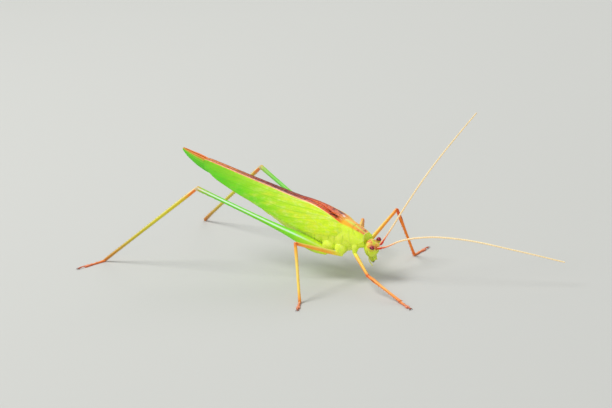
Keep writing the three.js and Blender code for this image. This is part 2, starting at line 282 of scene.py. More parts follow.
def round_about(columns: int) -> Array:
    """Angles all the way round from one side to the other, with 0 at the middle, in one row."""
    return np.linspace(-math.pi, math.pi, columns, endpoint=False)[None, :]


def outward(places: Array, closed: bool) -> Array:
    """The outward direction at each place of a grid.

    Args:
        places: rows by columns by 3, each row going round the shape.
        closed: whether the last column joins the first.

    Returns:
        A direction for each place, pointing away from the middle of its row.
    """
    along = np.gradient(places, axis=0)
    if closed:
        around = np.roll(places, -1, axis=1) - np.roll(places, 1, axis=1)
    else:
        around = np.gradient(places, axis=1)
    normal = np.cross(along, around)
    shortest = 1e-12
    normal /= np.maximum(np.linalg.norm(normal, axis=-1, keepdims=True), shortest)
    middle = places.mean(axis=1, keepdims=True)
    sign = np.sign((normal * (places - middle)).sum(axis=-1).sum())
    return normal * sign


def embossed(places: Array, height: Array) -> Array:
    """The places of a closed grid, moved outward by a height at each."""
    return places + outward(places, closed=True) * height[..., None]


def tube(path: Array, radii: Array, sides: int, depth: float = 1.0, square: float = 2.0,
         above: Array = UP) -> tuple[Array, Array]:
    """Rings of points round a path.

    Args:
        path: the points that the middle follows.
        radii: the radius at each point.
        sides: how many points to a ring.
        depth: how much deeper than wide the rings are.
        square: above 2 flattens the sides.
        above: the direction that counts as up.

    Returns:
        The places, and how far each faces up, from -1 to 1.
    """
    along = unit(np.gradient(path, axis=0))
    top = unit(above - along * (along @ above)[:, None])
    across = np.cross(along, top)
    angle = np.linspace(0, 2 * math.pi, sides, endpoint=False)
    c, s = np.cos(angle), np.sin(angle)
    size = (np.abs(c) ** square + np.abs(s) ** square) ** (-1 / square)
    ring = (size * c * depth)[None, :, None] * top[:, None] + (size * s)[None, :, None] * across[:, None]
    return path[:, None] + radii[:, None, None] * ring, np.broadcast_to(c, (len(path), sides))


def rounded(radii: Array, path: Array, first: float, last: float) -> Array:
    """Radii drawn in at a path's two ends, as a dome is.

    Args:
        radii: the radius at each point.
        path: the points.
        first: the length of the dome at the start.
        last: the length of the dome at the end.

    Returns:
        The new radii.
    """
    reach = reach_along(path)
    smallest = 1e-4
    for distance, cap in ((reach, first), (reach[-1] - reach, last)):
        radii = radii * np.sqrt(np.clip(1 - (1 - np.minimum(distance / cap, 1)) ** 2, smallest, 1))
    return radii


def rod(path: Array, sizes: Sizes, caps: Sizes, sides: int, **shape: object) -> tuple[Array, Array]:
    """A tube with domed ends.

    Args:
        path: the points that its middle follows.
        sizes: its radii, spaced evenly along the path.
        caps: the lengths of the domes at its start and its end.
        sides: how many points to a ring.
        shape: more about the rings, as for ``tube``.

    Returns:
        The places, and how far each faces up, from -1 to 1.
    """
    radii = rounded(evenly(sizes, shares(path)[:, 0]), path, *caps)
    return tube(path, radii, sides, **shape)


def ellipsoid(centre: Array, axes: Array, rows: int = 14, columns: int = 20, pole: float = 0.02) -> Array:
    """The places of a closed egg shape.

    Args:
        centre: its middle.
        axes: its half axes, one a row.
        rows: how many rings it has.
        columns: how many places to a ring.
        pole: the angle that its first and last rings leave open.

    Returns:
        The places, rows by columns by 3.
    """
    v = np.linspace(pole, math.pi - pole, rows)[:, None, None]
    u = np.linspace(0, 2 * math.pi, columns, endpoint=False)[None, :, None]
    return centre + np.cos(v) * axes[2] + np.sin(v) * (np.cos(u) * axes[0] + np.sin(u) * axes[1])


class Surface:
    """Gathers patches, each with its paint values, into one mesh."""

    def __init__(self) -> None:
        """Starts with nothing in it."""
        self.places: list[Array] = []
        self.faces: list[list[int]] = []
        self.paint: list[dict[str, Array]] = []
        self.count = 0

    def patch(self, places: Array, closed: bool = True, capped: bool = True,
              **paint: Array | float) -> None:
        """Adds a grid of faces.

        Args:
            places: rows by columns by 3.
            closed: whether the last column joins the first.
            capped: whether the first and last rows are filled in.
            paint: named values, one for each place or one for all.
        """
        rows, columns = places.shape[:2]
        index = np.arange(rows * columns).reshape(rows, columns) + self.count
        nxt = np.roll(index, -1, axis=1) if closed else index[:, 1:]
        here = index if closed else index[:, :-1]
        quads = np.stack([here[:-1], here[1:], nxt[1:], nxt[:-1]], axis=-1).reshape(-1, 4)
        self.faces.extend(quads.tolist())
        if capped:
            self.faces.append(index[0].tolist())
            self.faces.append(index[-1, ::-1].tolist())
        self.places.append(places.reshape(-1, 3))
        self.paint.append({
            name: np.broadcast_to(value, (rows, columns)).ravel() for name, value in paint.items()
        })
        self.count += rows * columns

    def make_mesh(self, name: str) -> bpy.types.Mesh:
        """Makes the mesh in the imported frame, with its faces pointing out and its paint on it.

        Args:
            name: the mesh's name.

        Returns:
            The mesh.
        """
        mesh = bpy.data.meshes.new(name)
        places = (np.vstack(self.places) - FOOTPRINT_CENTRE) * MILLIMETRE
        places[:, 2] = np.maximum(places[:, 2], 0.0)
        mesh.from_pydata(places.tolist(), [], self.faces)
        work = bmesh.new()
        work.from_mesh(mesh)
        bmesh.ops.recalc_face_normals(work, faces=work.faces)
        work.to_mesh(mesh)
        work.free()
        for key in sorted({key for paint in self.paint for key in paint}):
            values = [
                paint.get(key, np.zeros(len(places))) for paint, places in zip(self.paint, self.places)
            ]
            layer = mesh.attributes.new(key, "FLOAT", "POINT")
            layer.data.foreach_set("value", np.concatenate(values).astype(np.float32))
        mesh.shade_smooth()
        return mesh

    def build(self, name: str, finish: "Finish", *replaces: str) -> None:
        """Makes the piece, dresses it and seats it on the frame.

        Args:
            name: the piece's name.
            finish: what it is dressed in.
            replaces: the frame's nodes that it stands for.
        """
        piece = bpy.data.objects.new(name, self.make_mesh(name))
        bpy.context.scene.collection.objects.link(piece)
        piece.data.materials.append(finish.material())
        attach(piece, "root")
        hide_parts(*replaces)
        LOG.info("%s: %d faces", name, len(self.faces))


# ---------- Finishes ----------


def shade(code: str) -> Sizes:
    """A colour written as six hex digits, in Blender's linear light."""
    levels = (int(code[i:i + 2], 16) / 255 for i in (0, 2, 4))
    return (*(v / 12.92 if v <= 0.04045 else ((v + 0.055) / 1.055) ** 2.4 for v in levels), 1.0)


class Wiring:
    """Adds nodes to one material and joins them up."""

    MIX_SHARE, MIX_FIRST, MIX_SECOND, MIX_RESULT = 0, 6, 7, 2

    def __init__(self, name: str) -> None:
        """Starts a material with one shader, and the places in millimetres.

        Args:
            name: the material's name.
        """
        self.material = bpy.data.materials.new(name)
        self.material.use_nodes = True
        self.tree = self.material.node_tree
        self.shader = self.tree.nodes["Principled BSDF"]
        coordinates = self.add("ShaderNodeTexCoord")
        scale = self.add("ShaderNodeMapping")
        scale.inputs["Scale"].default_value = (1 / MILLIMETRE,) * 3
        self.join(coordinates.outputs["Object"], scale.inputs["Vector"])
        self.place = scale.outputs["Vector"]

    def add(self, kind: str, **settings: object) -> bpy.types.Node:
        """A new node.

        Args:
            kind: the kind of node.
            settings: its settings, by name.

        Returns:
            The node.
        """
        node = self.tree.nodes.new(kind)
        for key, value in settings.items():
            setattr(node, key, value)
        return node

    def join(self, source: object, target: Socket) -> None:
        """Links a socket to a target, or sets the target to a plain value.

        Args:
            source: a socket, a number or a colour.
            target: the socket that takes it.
        """
        if isinstance(source, Socket):
            self.tree.links.new(source, target)
        else:
            target.default_value = source

    def paint(self, name: str) -> Socket:
        """A value painted on the mesh."""
        return self.add("ShaderNodeAttribute", attribute_name=name).outputs["Fac"]

    def noise(self, per_mm: float, detail: float = 4.0, stretch: Triple = (1, 1, 1)) -> Socket:
        """Soft noise.

        Args:
            per_mm: how many lumps to a millimetre.
            detail: how much finer noise lies on the lumps.
            stretch: how many more lumps there are along X, Y and Z.

        Returns:
            The noise's socket.
        """
        mapping = self.add("ShaderNodeMapping")
        mapping.inputs["Scale"].default_value = stretch
        self.join(self.place, mapping.inputs["Vector"])
        node = self.add("ShaderNodeTexNoise")
        node.inputs["Scale"].default_value = per_mm
        node.inputs["Detail"].default_value = detail
        self.join(mapping.outputs["Vector"], node.inputs["Vector"])
        return node.outputs["Fac"]

    def cells(self, per_mm: float) -> Socket:
        """The distance to the middle of scattered cells.

        Args:
            per_mm: how many cells to a millimetre.

        Returns:
            The distance's socket.
        """
        node = self.add("ShaderNodeTexVoronoi")
        node.inputs["Scale"].default_value = per_mm
        self.join(self.place, node.inputs["Vector"])
        return node.outputs["Distance"]

    def maths(self, operation: str, first: object, second: object = 0.0) -> Socket:
        """One sum on two values.

        Args:
            operation: the kind of sum.
            first: the first value.
            second: the second value.

        Returns:
            The result's socket.
        """
        node = self.add("ShaderNodeMath", operation=operation)
        self.join(first, node.inputs[0])
        self.join(second, node.inputs[1])
        return node.outputs[0]

    def times(self, first: object, second: object) -> Socket:
        """Two values multiplied."""
        return self.maths("MULTIPLY", first, second)

    def span(self, value: object, low: float, high: float) -> Socket:
        """The value stretched so that low to high becomes 0 to 1, with soft ends.

        Args:
            value: what is stretched.
            low: what becomes 0.
            high: what becomes 1.

        Returns:
            The result's socket.
        """
        node = self.add("ShaderNodeMapRange", interpolation_type="SMOOTHSTEP")
        self.join(value, node.inputs["Value"])
        node.inputs["From Min"].default_value = low
        node.inputs["From Max"].default_value = high
        return node.outputs["Result"]

    def rescale(self, value: object, low: float, high: float, first: float, last: float) -> Socket:
        """The value moved evenly from one span onto another.

        Args:
            value: what is moved.
            low: where the old span starts.
            high: where the old span ends.
            first: where the new span starts.
            last: where the new span ends.

        Returns:
            The result's socket.
        """
        node = self.add("ShaderNodeMapRange")
        self.join(value, node.inputs["Value"])
        for name, limit in (("From Min", low), ("From Max", high), ("To Min", first), ("To Max", last)):
            node.inputs[name].default_value = limit
        return node.outputs["Result"]

    def blend(self, share: object, first: object, second: object) -> Socket:
        """Two colours mixed.

        Args:
            share: 0 for the first colour, 1 for the second.
            first: the first colour.
            second: the second colour.

        Returns:
            The mixed colour's socket.
        """
        node = self.add("ShaderNodeMix", data_type="RGBA")
        self.join(share, node.inputs[self.MIX_SHARE])
        self.join(first, node.inputs[self.MIX_FIRST])
        self.join(second, node.inputs[self.MIX_SECOND])
        return node.outputs[self.MIX_RESULT]

    def tint(self, body: object, mask: object, share: float, code: str) -> Socket:
        """A colour laid over the body's where a mask says, at a share of its full strength."""
        return self.blend(self.times(mask, share), body, shade(code))

    def colours(self, value: object, stops: Run) -> Socket:
        """A run of colours along a value.

        Args:
            value: what the run follows.
            stops: where each colour stands, and the colour.

        Returns:
            The colour's socket.
        """
        node = self.add("ShaderNodeValToRGB")
        elements = node.color_ramp.elements
        while len(elements) < len(stops):
            elements.new(0.5)
        for element, (place, code) in zip(elements, stops):
            element.position = place
            element.color = shade(code)
        self.join(value, node.inputs["Fac"])
        return node.outputs["Color"]

    def relief(self, height: object, millimetres: float, strength: float) -> Socket:
        """Bump from a height between 0 and 1.

        Args:
            height: the value that stands for height.
            millimetres: how high 1 is.
            strength: how much of it shows.

        Returns:
            The relief's socket.
        """
        node = self.add("ShaderNodeBump")
        node.inputs["Distance"].default_value = millimetres * MILLIMETRE
        node.inputs["Strength"].default_value = strength
        self.join(height, node.inputs["Height"])
        return node.outputs["Normal"]


@dataclass(frozen=True)
class Finish:
    """Insect shell: a satin skin over soft flesh, with fine grain."""

    name: str
    slot: str
    roughness: float = 0.38
    smoothest: float = -0.08
    roughest: float = 0.12
    depth: float = 0.15
    bleed: Triple = (0.5, 0.4, 0.15)
    gloss: float = 0.35
    coat: float = 0.06
    coat_roughness: float = 0.2
    grain_per_mm: float = 9.0
    grain_height: float = 0.02
    grain_strength: float = 0.6

    def colour(self, net: Wiring) -> Socket:
        """The colour over the surface. Each kind of finish says its own."""
        raise NotImplementedError

    def texture(self, net: Wiring) -> Socket:
        """The height of the fine relief."""
        return net.noise(self.grain_per_mm, 3.0)

    @cache
    def material(self) -> bpy.types.Material:
        """The finish as a material, made once and then shared.

        Returns:
            The material.
        """
        net = Wiring(self.name)
        sockets = net.shader.inputs
        sockets["Subsurface Weight"].default_value = self.depth
        sockets["Subsurface Radius"].default_value = self.bleed
        sockets["Subsurface Scale"].default_value = MILLIMETRE
        sockets["Specular IOR Level"].default_value = self.gloss
        sockets["Coat Weight"].default_value = self.coat
        sockets["Coat Roughness"].default_value = self.coat_roughness
        net.join(self.colour(net), sockets["Base Color"])
        fine = self.texture(net)
        rough = net.rescale(fine, 0, 1, self.roughness + self.smoothest, self.roughness + self.roughest)
        net.join(rough, sockets["Roughness"])
        net.join(net.relief(fine, self.grain_height, self.grain_strength), sockets["Normal"])
        return net.material


@dataclass(frozen=True)
class WingFinish(Finish):
    """Fore wing: leaf green side with fine veins, and an orange and maroon back."""

    upper_run: Run = ((0.0, "dcf21e"), (0.2, "d4f022"), (0.4, "c6ea28"), (0.6, "b0e228"), (0.82, "8cd41e"),
                      (1.0, "7ccc1c"))
    lower_run: Run = ((0.0, "d8f21c"), (0.2, "cdee1c"), (0.4, "aee61a"), (0.6, "72da10"), (0.82, "5ad40a"),
                      (1.0, "58d20a"))
    back_run: Run = ((0.0, "fab81a"), (0.022, "f9a41a"), (0.045, "ee701e"), (0.1, "e8581a"), (0.2, "e65c20"),
                     (0.28, "b0301a"), (0.36, "801812"), (0.5, "701210"), (0.62, "92301a"), (0.74, "c66a2e"),
                     (0.86, "e68434"), (1.0, "f08a34"))
    rim_run: Run = ((0.0, "ffc22a"), (0.15, "f6cf74"), (0.3, "eeb266"), (0.7, "e89c56"), (1.0, "f0944a"))

    def side(self, net: Wiring, along: Socket, down: Socket, vein: Socket) -> Socket:
        """The side: greener to the tip and the lower edge, streaked and blotched near the base.

        Args:
            net: the material's nodes.
            along: 0 at the base and 1 at the tip.
            down: 0 at the fold and 1 at the lower edge.
            vein: 1 on a vein.

        Returns:
            The colour's socket.
        """
        drift = net.times(net.noise(0.5, 3.0), 0.35)
        upper = net.colours(along, self.upper_run)
        lower = net.colours(along, self.lower_run)
        body = net.blend(net.span(net.maths("ADD", down, drift), 0.2, 1.1), upper, lower)
        streak = net.span(net.noise(1.3, 4.0, (0.22, 1, 1)), 0.46, 0.72)
        near_base = net.maths("SUBTRACT", 1.0, net.span(along, 0.4, 0.9))
        body = net.tint(body, net.times(streak, near_base), 0.5, "f0e43c")
        blotch = net.span(net.noise(1.9, 5.0, (0.5, 1, 1)), 0.48, 0.7)
        body = net.tint(body, net.times(blotch, near_base), 0.4, "e8f28a")
        fine = net.span(net.noise(3.6, 3.0, (0.12, 1, 1)), 0.4, 0.65)
        body = net.tint(body, fine, 0.3, "8fd418")
        body = net.tint(body, vein, 0.4, "6fb80f")
        edging = net.times(net.span(down, 0.96, 0.995), net.span(along, 0.45, 0.6))
        return net.tint(body, edging, 0.6, "b0962e")

    def back(self, net: Wiring, along: Socket, vein: Socket) -> Socket:
        """The back: yellow, orange, maroon and orange again, with dark spots, a painted highlight and a pale
        outer rim.

        Args:
            net: the material's nodes.
            along: 0 at the base and 1 at the tip.
            vein: 1 on a vein.

        Returns:
            The colour's socket.
        """
        body = net.colours(along, self.back_run)
        mottle = net.span(net.noise(1.6, 5.0, (0.6, 1.4, 1)), 0.42, 0.7)
        body = net.tint(body, mottle, 0.35, "f5862c")
        body = net.blend(net.times(vein, net.span(along, 0.0, 0.06)), body, shade("4a0c10"))
        body = net.blend(net.paint("corner"), body, shade("f2561a"))
        body = net.tint(body, net.paint("spot"), 0.94, "34070f")
        # painted highlight: a small white glint on the back near the base
        body = net.blend(net.paint("glint"), body, shade("f5ece2"))
        pale = net.colours(along, self.rim_run)
        rim_from = net.rescale(along, 0.15, 0.4, 0.93, 0.8)
        past = net.maths("SUBTRACT", net.paint("outward"), rim_from)
        return net.blend(net.span(past, -0.05, 0.08), body, pale)

    def colour(self, net: Wiring) -> Socket:
        """The side's colour and the back's, which meet at the fold.

        Args:
            net: the material's nodes.

        Returns:
            The colour's socket.
        """
        along, down, vein = (net.paint(name) for name in ("along", "down", "vein"))
        side = self.side(net, along, down, vein)
        back = self.back(net, along, vein)
        return net.blend(net.span(down, 0.005, 0.035), back, side)


@dataclass(frozen=True)
class FanFinish(Finish):
    """Folded hind wing: green with an orange upper edge."""

    run: Run = ((0.0, "f0762c"), (0.1, "ee8a38"), (0.24, "9adc26"), (0.5, "62d614"), (1.0, "56d00e"))

    def colour(self, net: Wiring) -> Socket:
        """Green below, orange along the top edge, darker in the pleats."""
        body = net.colours(net.paint("down"), self.run)
        return net.tint(body, net.paint("vein"), 0.5, "5a9a1c")


@dataclass(frozen=True)
class BodyFinish(Finish):
    """Thorax, abdomen and coxae: yellow-green, finely granular, with pale hind margins."""

    run: Run = ((0.25, "d0ee28"), (0.5, "dff43c"), (0.75, "ecf866"))

    def colour(self, net: Wiring) -> Socket:
        """Yellow-green mottled with whitish grains, greener in the grooves and brown along the back.

        Args:
            net: the material's nodes.

        Returns:
            The colour's socket.
        """
        body = net.colours(net.noise(1.2, 4.0), self.run)
        body = net.tint(body, net.span(net.cells(7.5), 0.5, 0.1), 0.3, "f4f8a0")
        body = net.tint(body, net.paint("groove"), 0.35, "8fb81e")
        body = net.tint(body, net.paint("margin"), 0.35, "f2e684")
        return net.blend(net.paint("back"), body, shade("a8672a"))


@dataclass(frozen=True)
class PronotumFinish(Finish):
    """The shield over the forebody: yellow-green sides, and a disc of orange with rust marks."""

    side_run: Run = ((0.25, "cdec1e"), (0.5, "d9f22c"), (0.8, "e6f64e"))
    band_run: Run = ((0.0, "fb9a12"), (0.12, "fbb916"), (0.6, "fba826"), (1.0, "ef8a38"))

    def colour(self, net: Wiring) -> Socket:
        """Side colour, then the disc, its orange edges with rust marks, and the pale rims.

        Args:
            net: the material's nodes.

        Returns:
            The colour's socket.
        """
        along = net.paint("along")
        side = net.colours(net.noise(1.0, 4.0, (0.5, 1, 1.6)), self.side_run)
        side = net.tint(side, net.span(net.cells(7.0), 0.5, 0.1), 0.35, "f3f78a")
        side = net.tint(side, net.paint("groove"), 0.4, "9cc41c")
        body = net.tint(side, net.paint("disc"), 0.6, "cfd42c")
        band = net.colours(along, self.band_run)
        marks = net.span(net.noise(2.3, 5.0, (0.7, 1.5, 1)), 0.5, 0.62)
        marks = net.times(marks, net.span(along, 0.45, 0.75))
        band = net.blend(marks, band, shade("a8321a"))
        body = net.blend(net.paint("band"), body, band)
        return net.blend(net.paint("collar"), body, shade("e4ee86"))


@dataclass(frozen=True)
class HeadFinish(Finish):
    """Head capsule: yellow-green face with dark specks, and a crown mottled orange-red."""

    face_run: Run = ((0.25, "bfe024"), (0.5, "d2e834"), (0.75, "e2f05a"))
    crown_run: Run = ((0.36, "dfe648"), (0.46, "ecd04a"), (0.55, "eeaa58"), (0.68, "d4562a"))

    def colour(self, net: Wiring) -> Socket:
        """Face, crown, specks and the ring round each eye.

        Args:
            net: the material's nodes.

        Returns:
            The colour's socket.
        """
        face = net.colours(net.noise(1.6, 4.0), self.face_run)
        crown = net.colours(net.noise(2.2, 5.0), self.crown_run)
        body = net.blend(net.paint("crown"), face, crown)
        specks = net.times(net.span(net.cells(3.6), 0.27, 0.16), net.paint("speckled"))
        body = net.tint(body, specks, 0.75, "6a5a1c")
        body = net.tint(body, net.paint("groove"), 0.55, "6d8c1e")
        body = net.blend(net.paint("red"), body, shade("c23a1c"))
        return net.blend(net.paint("rim"), body, shade("f2ec3c"))


@dataclass(frozen=True)
class EyeFinish(Finish):
    """Compound eye: glossy dark maroon over a paler foot, with a painted highlight and fine facets."""

    # the rosy stop at 0.37 is a painted highlight between the maroon and the yellow foot
    run: Run = ((0.0, "9a1020"), (0.12, "c41440"), (0.2, "7a0822"), (0.31, "3c040e"), (0.37, "b8685c"),
                (0.42, "e6dc34"), (1.0, "e8e83a"))

    def texture(self, net: Wiring) -> Socket:
        """Domed facets."""
        return net.maths("SUBTRACT", 1.0, net.cells(self.grain_per_mm))

    def colour(self, net: Wiring) -> Socket:
        """Maroon with a rosy band that is a painted highlight, and a yellow foot.

        Args:
            net: the material's nodes.

        Returns:
            The colour's socket.
        """
        drift = net.times(net.noise(3.0), 0.16)
        low = net.maths("ADD", net.maths("SUBTRACT", net.paint("low"), 0.08), drift)
        body = net.colours(low, self.run)
        return net.tint(body, net.span(net.cells(16.0), 0.2, 0.55), 0.25, "24040a")


@dataclass(frozen=True)
class HornFinish(Finish):
    """Hard parts of one colour that darken to the tip, such as jaws, claws and palps."""

    root: str = "c9a23a"
    tip: str = "2a120a"

    def colour(self, net: Wiring) -> Socket:
        """A run from the root's colour to the tip's, a little mottled."""
        along = net.maths("ADD", net.paint("along"), net.times(net.noise(3.0), 0.1))
        return net.blend(net.span(along, 0.45, 0.95), shade(self.root), shade(self.tip))


@dataclass(frozen=True)
class FeelerFinish(Finish):
    """Antenna: red-orange at the base, then cream-orange with a fine dark ring at each joint."""

    run: Run = ((0.0, "d42a1c"), (0.03, "da3c22"), (0.06, "f6946a"), (0.12, "ffd49c"), (0.5, "ffe2ae"),
                (1.0, "fbd69c"))

    def colour(self, net: Wiring) -> Socket:
        """The run along the antenna, rings, and a painted highlight along the upper side.

        Args:
            net: the material's nodes.

        Returns:
            The colour's socket.
        """
        body = net.colours(net.paint("along"), self.run)
        # painted highlight: paler where the antenna faces up
        body = net.tint(body, net.span(net.paint("top"), 0.1, 0.9), 0.5, "fff2c4")
        return net.tint(body, net.paint("ring"), 0.35, "b8683a")


@dataclass(frozen=True)
class LegFinish(Finish):
    """A leg part: a run of colour along it, with another for a painted highlight on its upper flanks."""

    run: Run = ((0.0, "f29a2e"), (1.0, "f29a2e"))
    highlight_run: Run = ((0.0, "f7c04a"), (1.0, "f7c04a"))
    highlight_from: float = 0.2
    highlight_to: float = 0.9
    highlight_painted: bool = False

    def colour(self, net: Wiring) -> Socket:
        """The run, its painted highlight, small freckles, dark spine tips and the dark ear slits.

        Args:
            net: the material's nodes.

        Returns:
            The colour's socket.
        """
        along, top = net.paint("along"), net.paint("top")
        body = net.colours(along, self.run)
        # painted highlight: a lighter run on the upper flanks, or along the hind femur's painted line
        highlight_run = net.colours(along, self.highlight_run)
        if self.highlight_painted:
            share = net.paint("band")
        else:
            share = net.span(top, self.highlight_from, self.highlight_to)
        body = net.blend(share, body, highlight_run)
        body = net.tint(body, net.span(net.noise(1.4, 5.0), 0.45, 0.75), 0.15, "c8601c")
        return net.blend(net.paint("dark"), body, shade("2c120a"))


@dataclass(frozen=True)
class FloorFinish:
    """A plain pale matt floor."""

    name: str = "studio_floor"
    code: str = "c4c4be"
    roughness: float = 0.85

    def material(self) -> bpy.types.Material:
        """The floor's material.

        Returns:
            The material.
        """
        net = Wiring(self.name)
        net.shader.inputs["Base Color"].default_value = shade(self.code)
        net.shader.inputs["Roughness"].default_value = self.roughness
        return net.material


PRONOTUM_SHELL = PronotumFinish("pronotum_saddle", "pronotum_shell")
BODY_SHELL = BodyFinish("body_shell", "body_cuticle", grain_height=0.03)
HEAD_SHELL = HeadFinish("head_shell", "head_cuticle")
FORE_WING = WingFinish("fore_wing_leaf", "fore_wing", roughness=0.36, grain_per_mm=14.0, grain_height=0.012)
HIND_WING = FanFinish("hind_wing_fan", "hind_wing", roughness=0.45)
EYE = EyeFinish("eye_maroon", "eye", roughness=0.32, depth=0.0, coat=0.35, coat_roughness=0.12,
                grain_per_mm=22.0)
JAW = HornFinish("jaw_horn", "jaw", roughness=0.3, depth=0.0, root="b8c832", tip="24100a")
PALP = HornFinish("palp_straw", "palp", root="dfe05a", tip="d8a840")
CERCUS = HornFinish("cercus_green", "body_cuticle", root="b8d83a", tip="7a4a1c")
ANTENNA_BASE = FeelerFinish("antenna_red", "antenna_base")
ANTENNA = FeelerFinish("antenna_cream", "antenna")
# each leg finish's second run is a painted highlight on the upper flanks
ORANGE_FEMUR = LegFinish(
    "femur_orange", "front_leg",
    run=((0.0, "dcee34"), (0.12, "f0da3c"), (0.26, "feaa30"), (0.8, "fd962a"), (0.94, "f87a22"),
         (1.0, "e85a20")),
    highlight_run=((0.0, "e8f250"), (0.14, "f8e850"), (0.3, "ffd45c"), (0.85, "ffbe4c"), (1.0, "f4843a")))
# a lighter copy of the orange femur, painted light for the mid legs, which sit in more shade
LIT_ORANGE_FEMUR = LegFinish(
    "femur_orange_painted_light", "front_leg",
    run=((0.0, "e2f23c"), (0.12, "f6e044"), (0.26, "ffb63a"), (0.8, "ffa432"), (0.94, "fb842a"),
         (1.0, "ec6226")),
    highlight_run=((0.0, "ecf458"), (0.14, "fcee60"), (0.3, "ffde72"), (0.85, "ffcc5e"), (1.0, "f89248")),
    highlight_from=0.0, highlight_to=0.8)
ORANGE_TIBIA = LegFinish(
    "tibia_orange", "front_leg",
    run=((0.0, "d8461a"), (0.06, "ea5c1a"), (0.2, "f8801e"), (0.8, "fa8a26"), (1.0, "ec6820")),
    highlight_run=((0.0, "e0561e"), (0.1, "f8922c"), (0.5, "ffb450"), (1.0, "f58c36")))
AMBER_TIBIA = LegFinish(
    "tibia_amber", "front_leg",
    run=((0.0, "e0501c"), (0.06, "f07022"), (0.16, "fca62c"), (0.8, "fbb232"), (1.0, "ee7c26")),
    highlight_run=((0.0, "e8682a"), (0.1, "fbb63e"), (0.4, "ffe06a"), (0.8, "fdd85e"), (1.0, "f59a3c")))
# the hind femur's painted highlight follows the line painted into its mesh
GREEN_FEMUR = LegFinish(
    "femur_green", "hind_femur",
    run=((0.0, "d6ee28"), (0.12, "b8e620"), (0.26, "7edc12"), (0.8, "68d20c"), (0.95, "8ecc30"),
         (1.0, "e2a858")),
    highlight_run=((0.0, "dcf048"), (0.12, "c8f070"), (0.22, "ccf4cc"), (0.9, "def6da"), (1.0, "f4e0c8")),
    highlight_painted=True)
OLIVE_TIBIA = LegFinish(
    "tibia_olive", "hind_tibia",
    run=((0.0, "e8a060"), (0.03, "ee7a28"), (0.08, "f08a20"), (0.14, "d8c022"), (0.4, "ccc628"),
         (0.7, "bfae2c"), (1.0, "bc6c2c")),
    highlight_run=((0.0, "f6dcb0"), (0.08, "fae29a"), (0.25, "f0ea78"), (0.7, "e4d466"), (1.0, "da9a4c")),
    highlight_from=0.1, highlight_to=0.6)
RED_FOOT = LegFinish(
    "foot_red", "foot",
    run=((0.0, "ee7a30"), (0.4, "e2703a"), (0.75, "d86a42"), (1.0, "a4482c")),
    highlight_run=((0.0, "fa9c50"), (0.4, "f49a64"), (0.75, "ea9270"), (1.0, "c46a4c")))


# ---------- Wings ----------


@dataclass
class WingSheet:
    """One wing's grid of places, with its rows from base to tip and its columns from the back down.

    ``down`` is -1 at the middle of the back, 0 at the fold and 1 at the lower edge. ``share`` is 0 at the
    middle of the back and 1 from the fold on.
    """

    behind: Array
    down: Array
    share: Array
    depth: Array
    fold: Array
    out: Array
    up: Array


@dataclass(frozen=True)
class BranchVeins:
    """A row of like veins that leave one main vein and slant down and back."""

    count: int
    first: float
    step: float
    slope: float
    slope_step: float
    bend: float
    width: float

    def standing(self, sheet: WingSheet, parent: Rows) -> Array:
        """How much of one of these veins stands at each place.

        Args:
            sheet: the wing's grid.
            parent: the stops of the main vein that they leave.

        Returns:
            Values from 0 to 1.
        """
        found = np.zeros(sheet.behind.shape)
        for number in range(self.count):
            start = self.first + number * self.step
            lead = sheet.behind - start
            top = spline(parent, np.full(1, start))[0, 0]
            line = top + (self.slope + self.slope_step * number) * lead + self.bend * lead**2
            vein = ramp(lead, 0.15) * hill((sheet.down - line) * sheet.depth, self.width)
            found = np.maximum(found, vein)
        return found


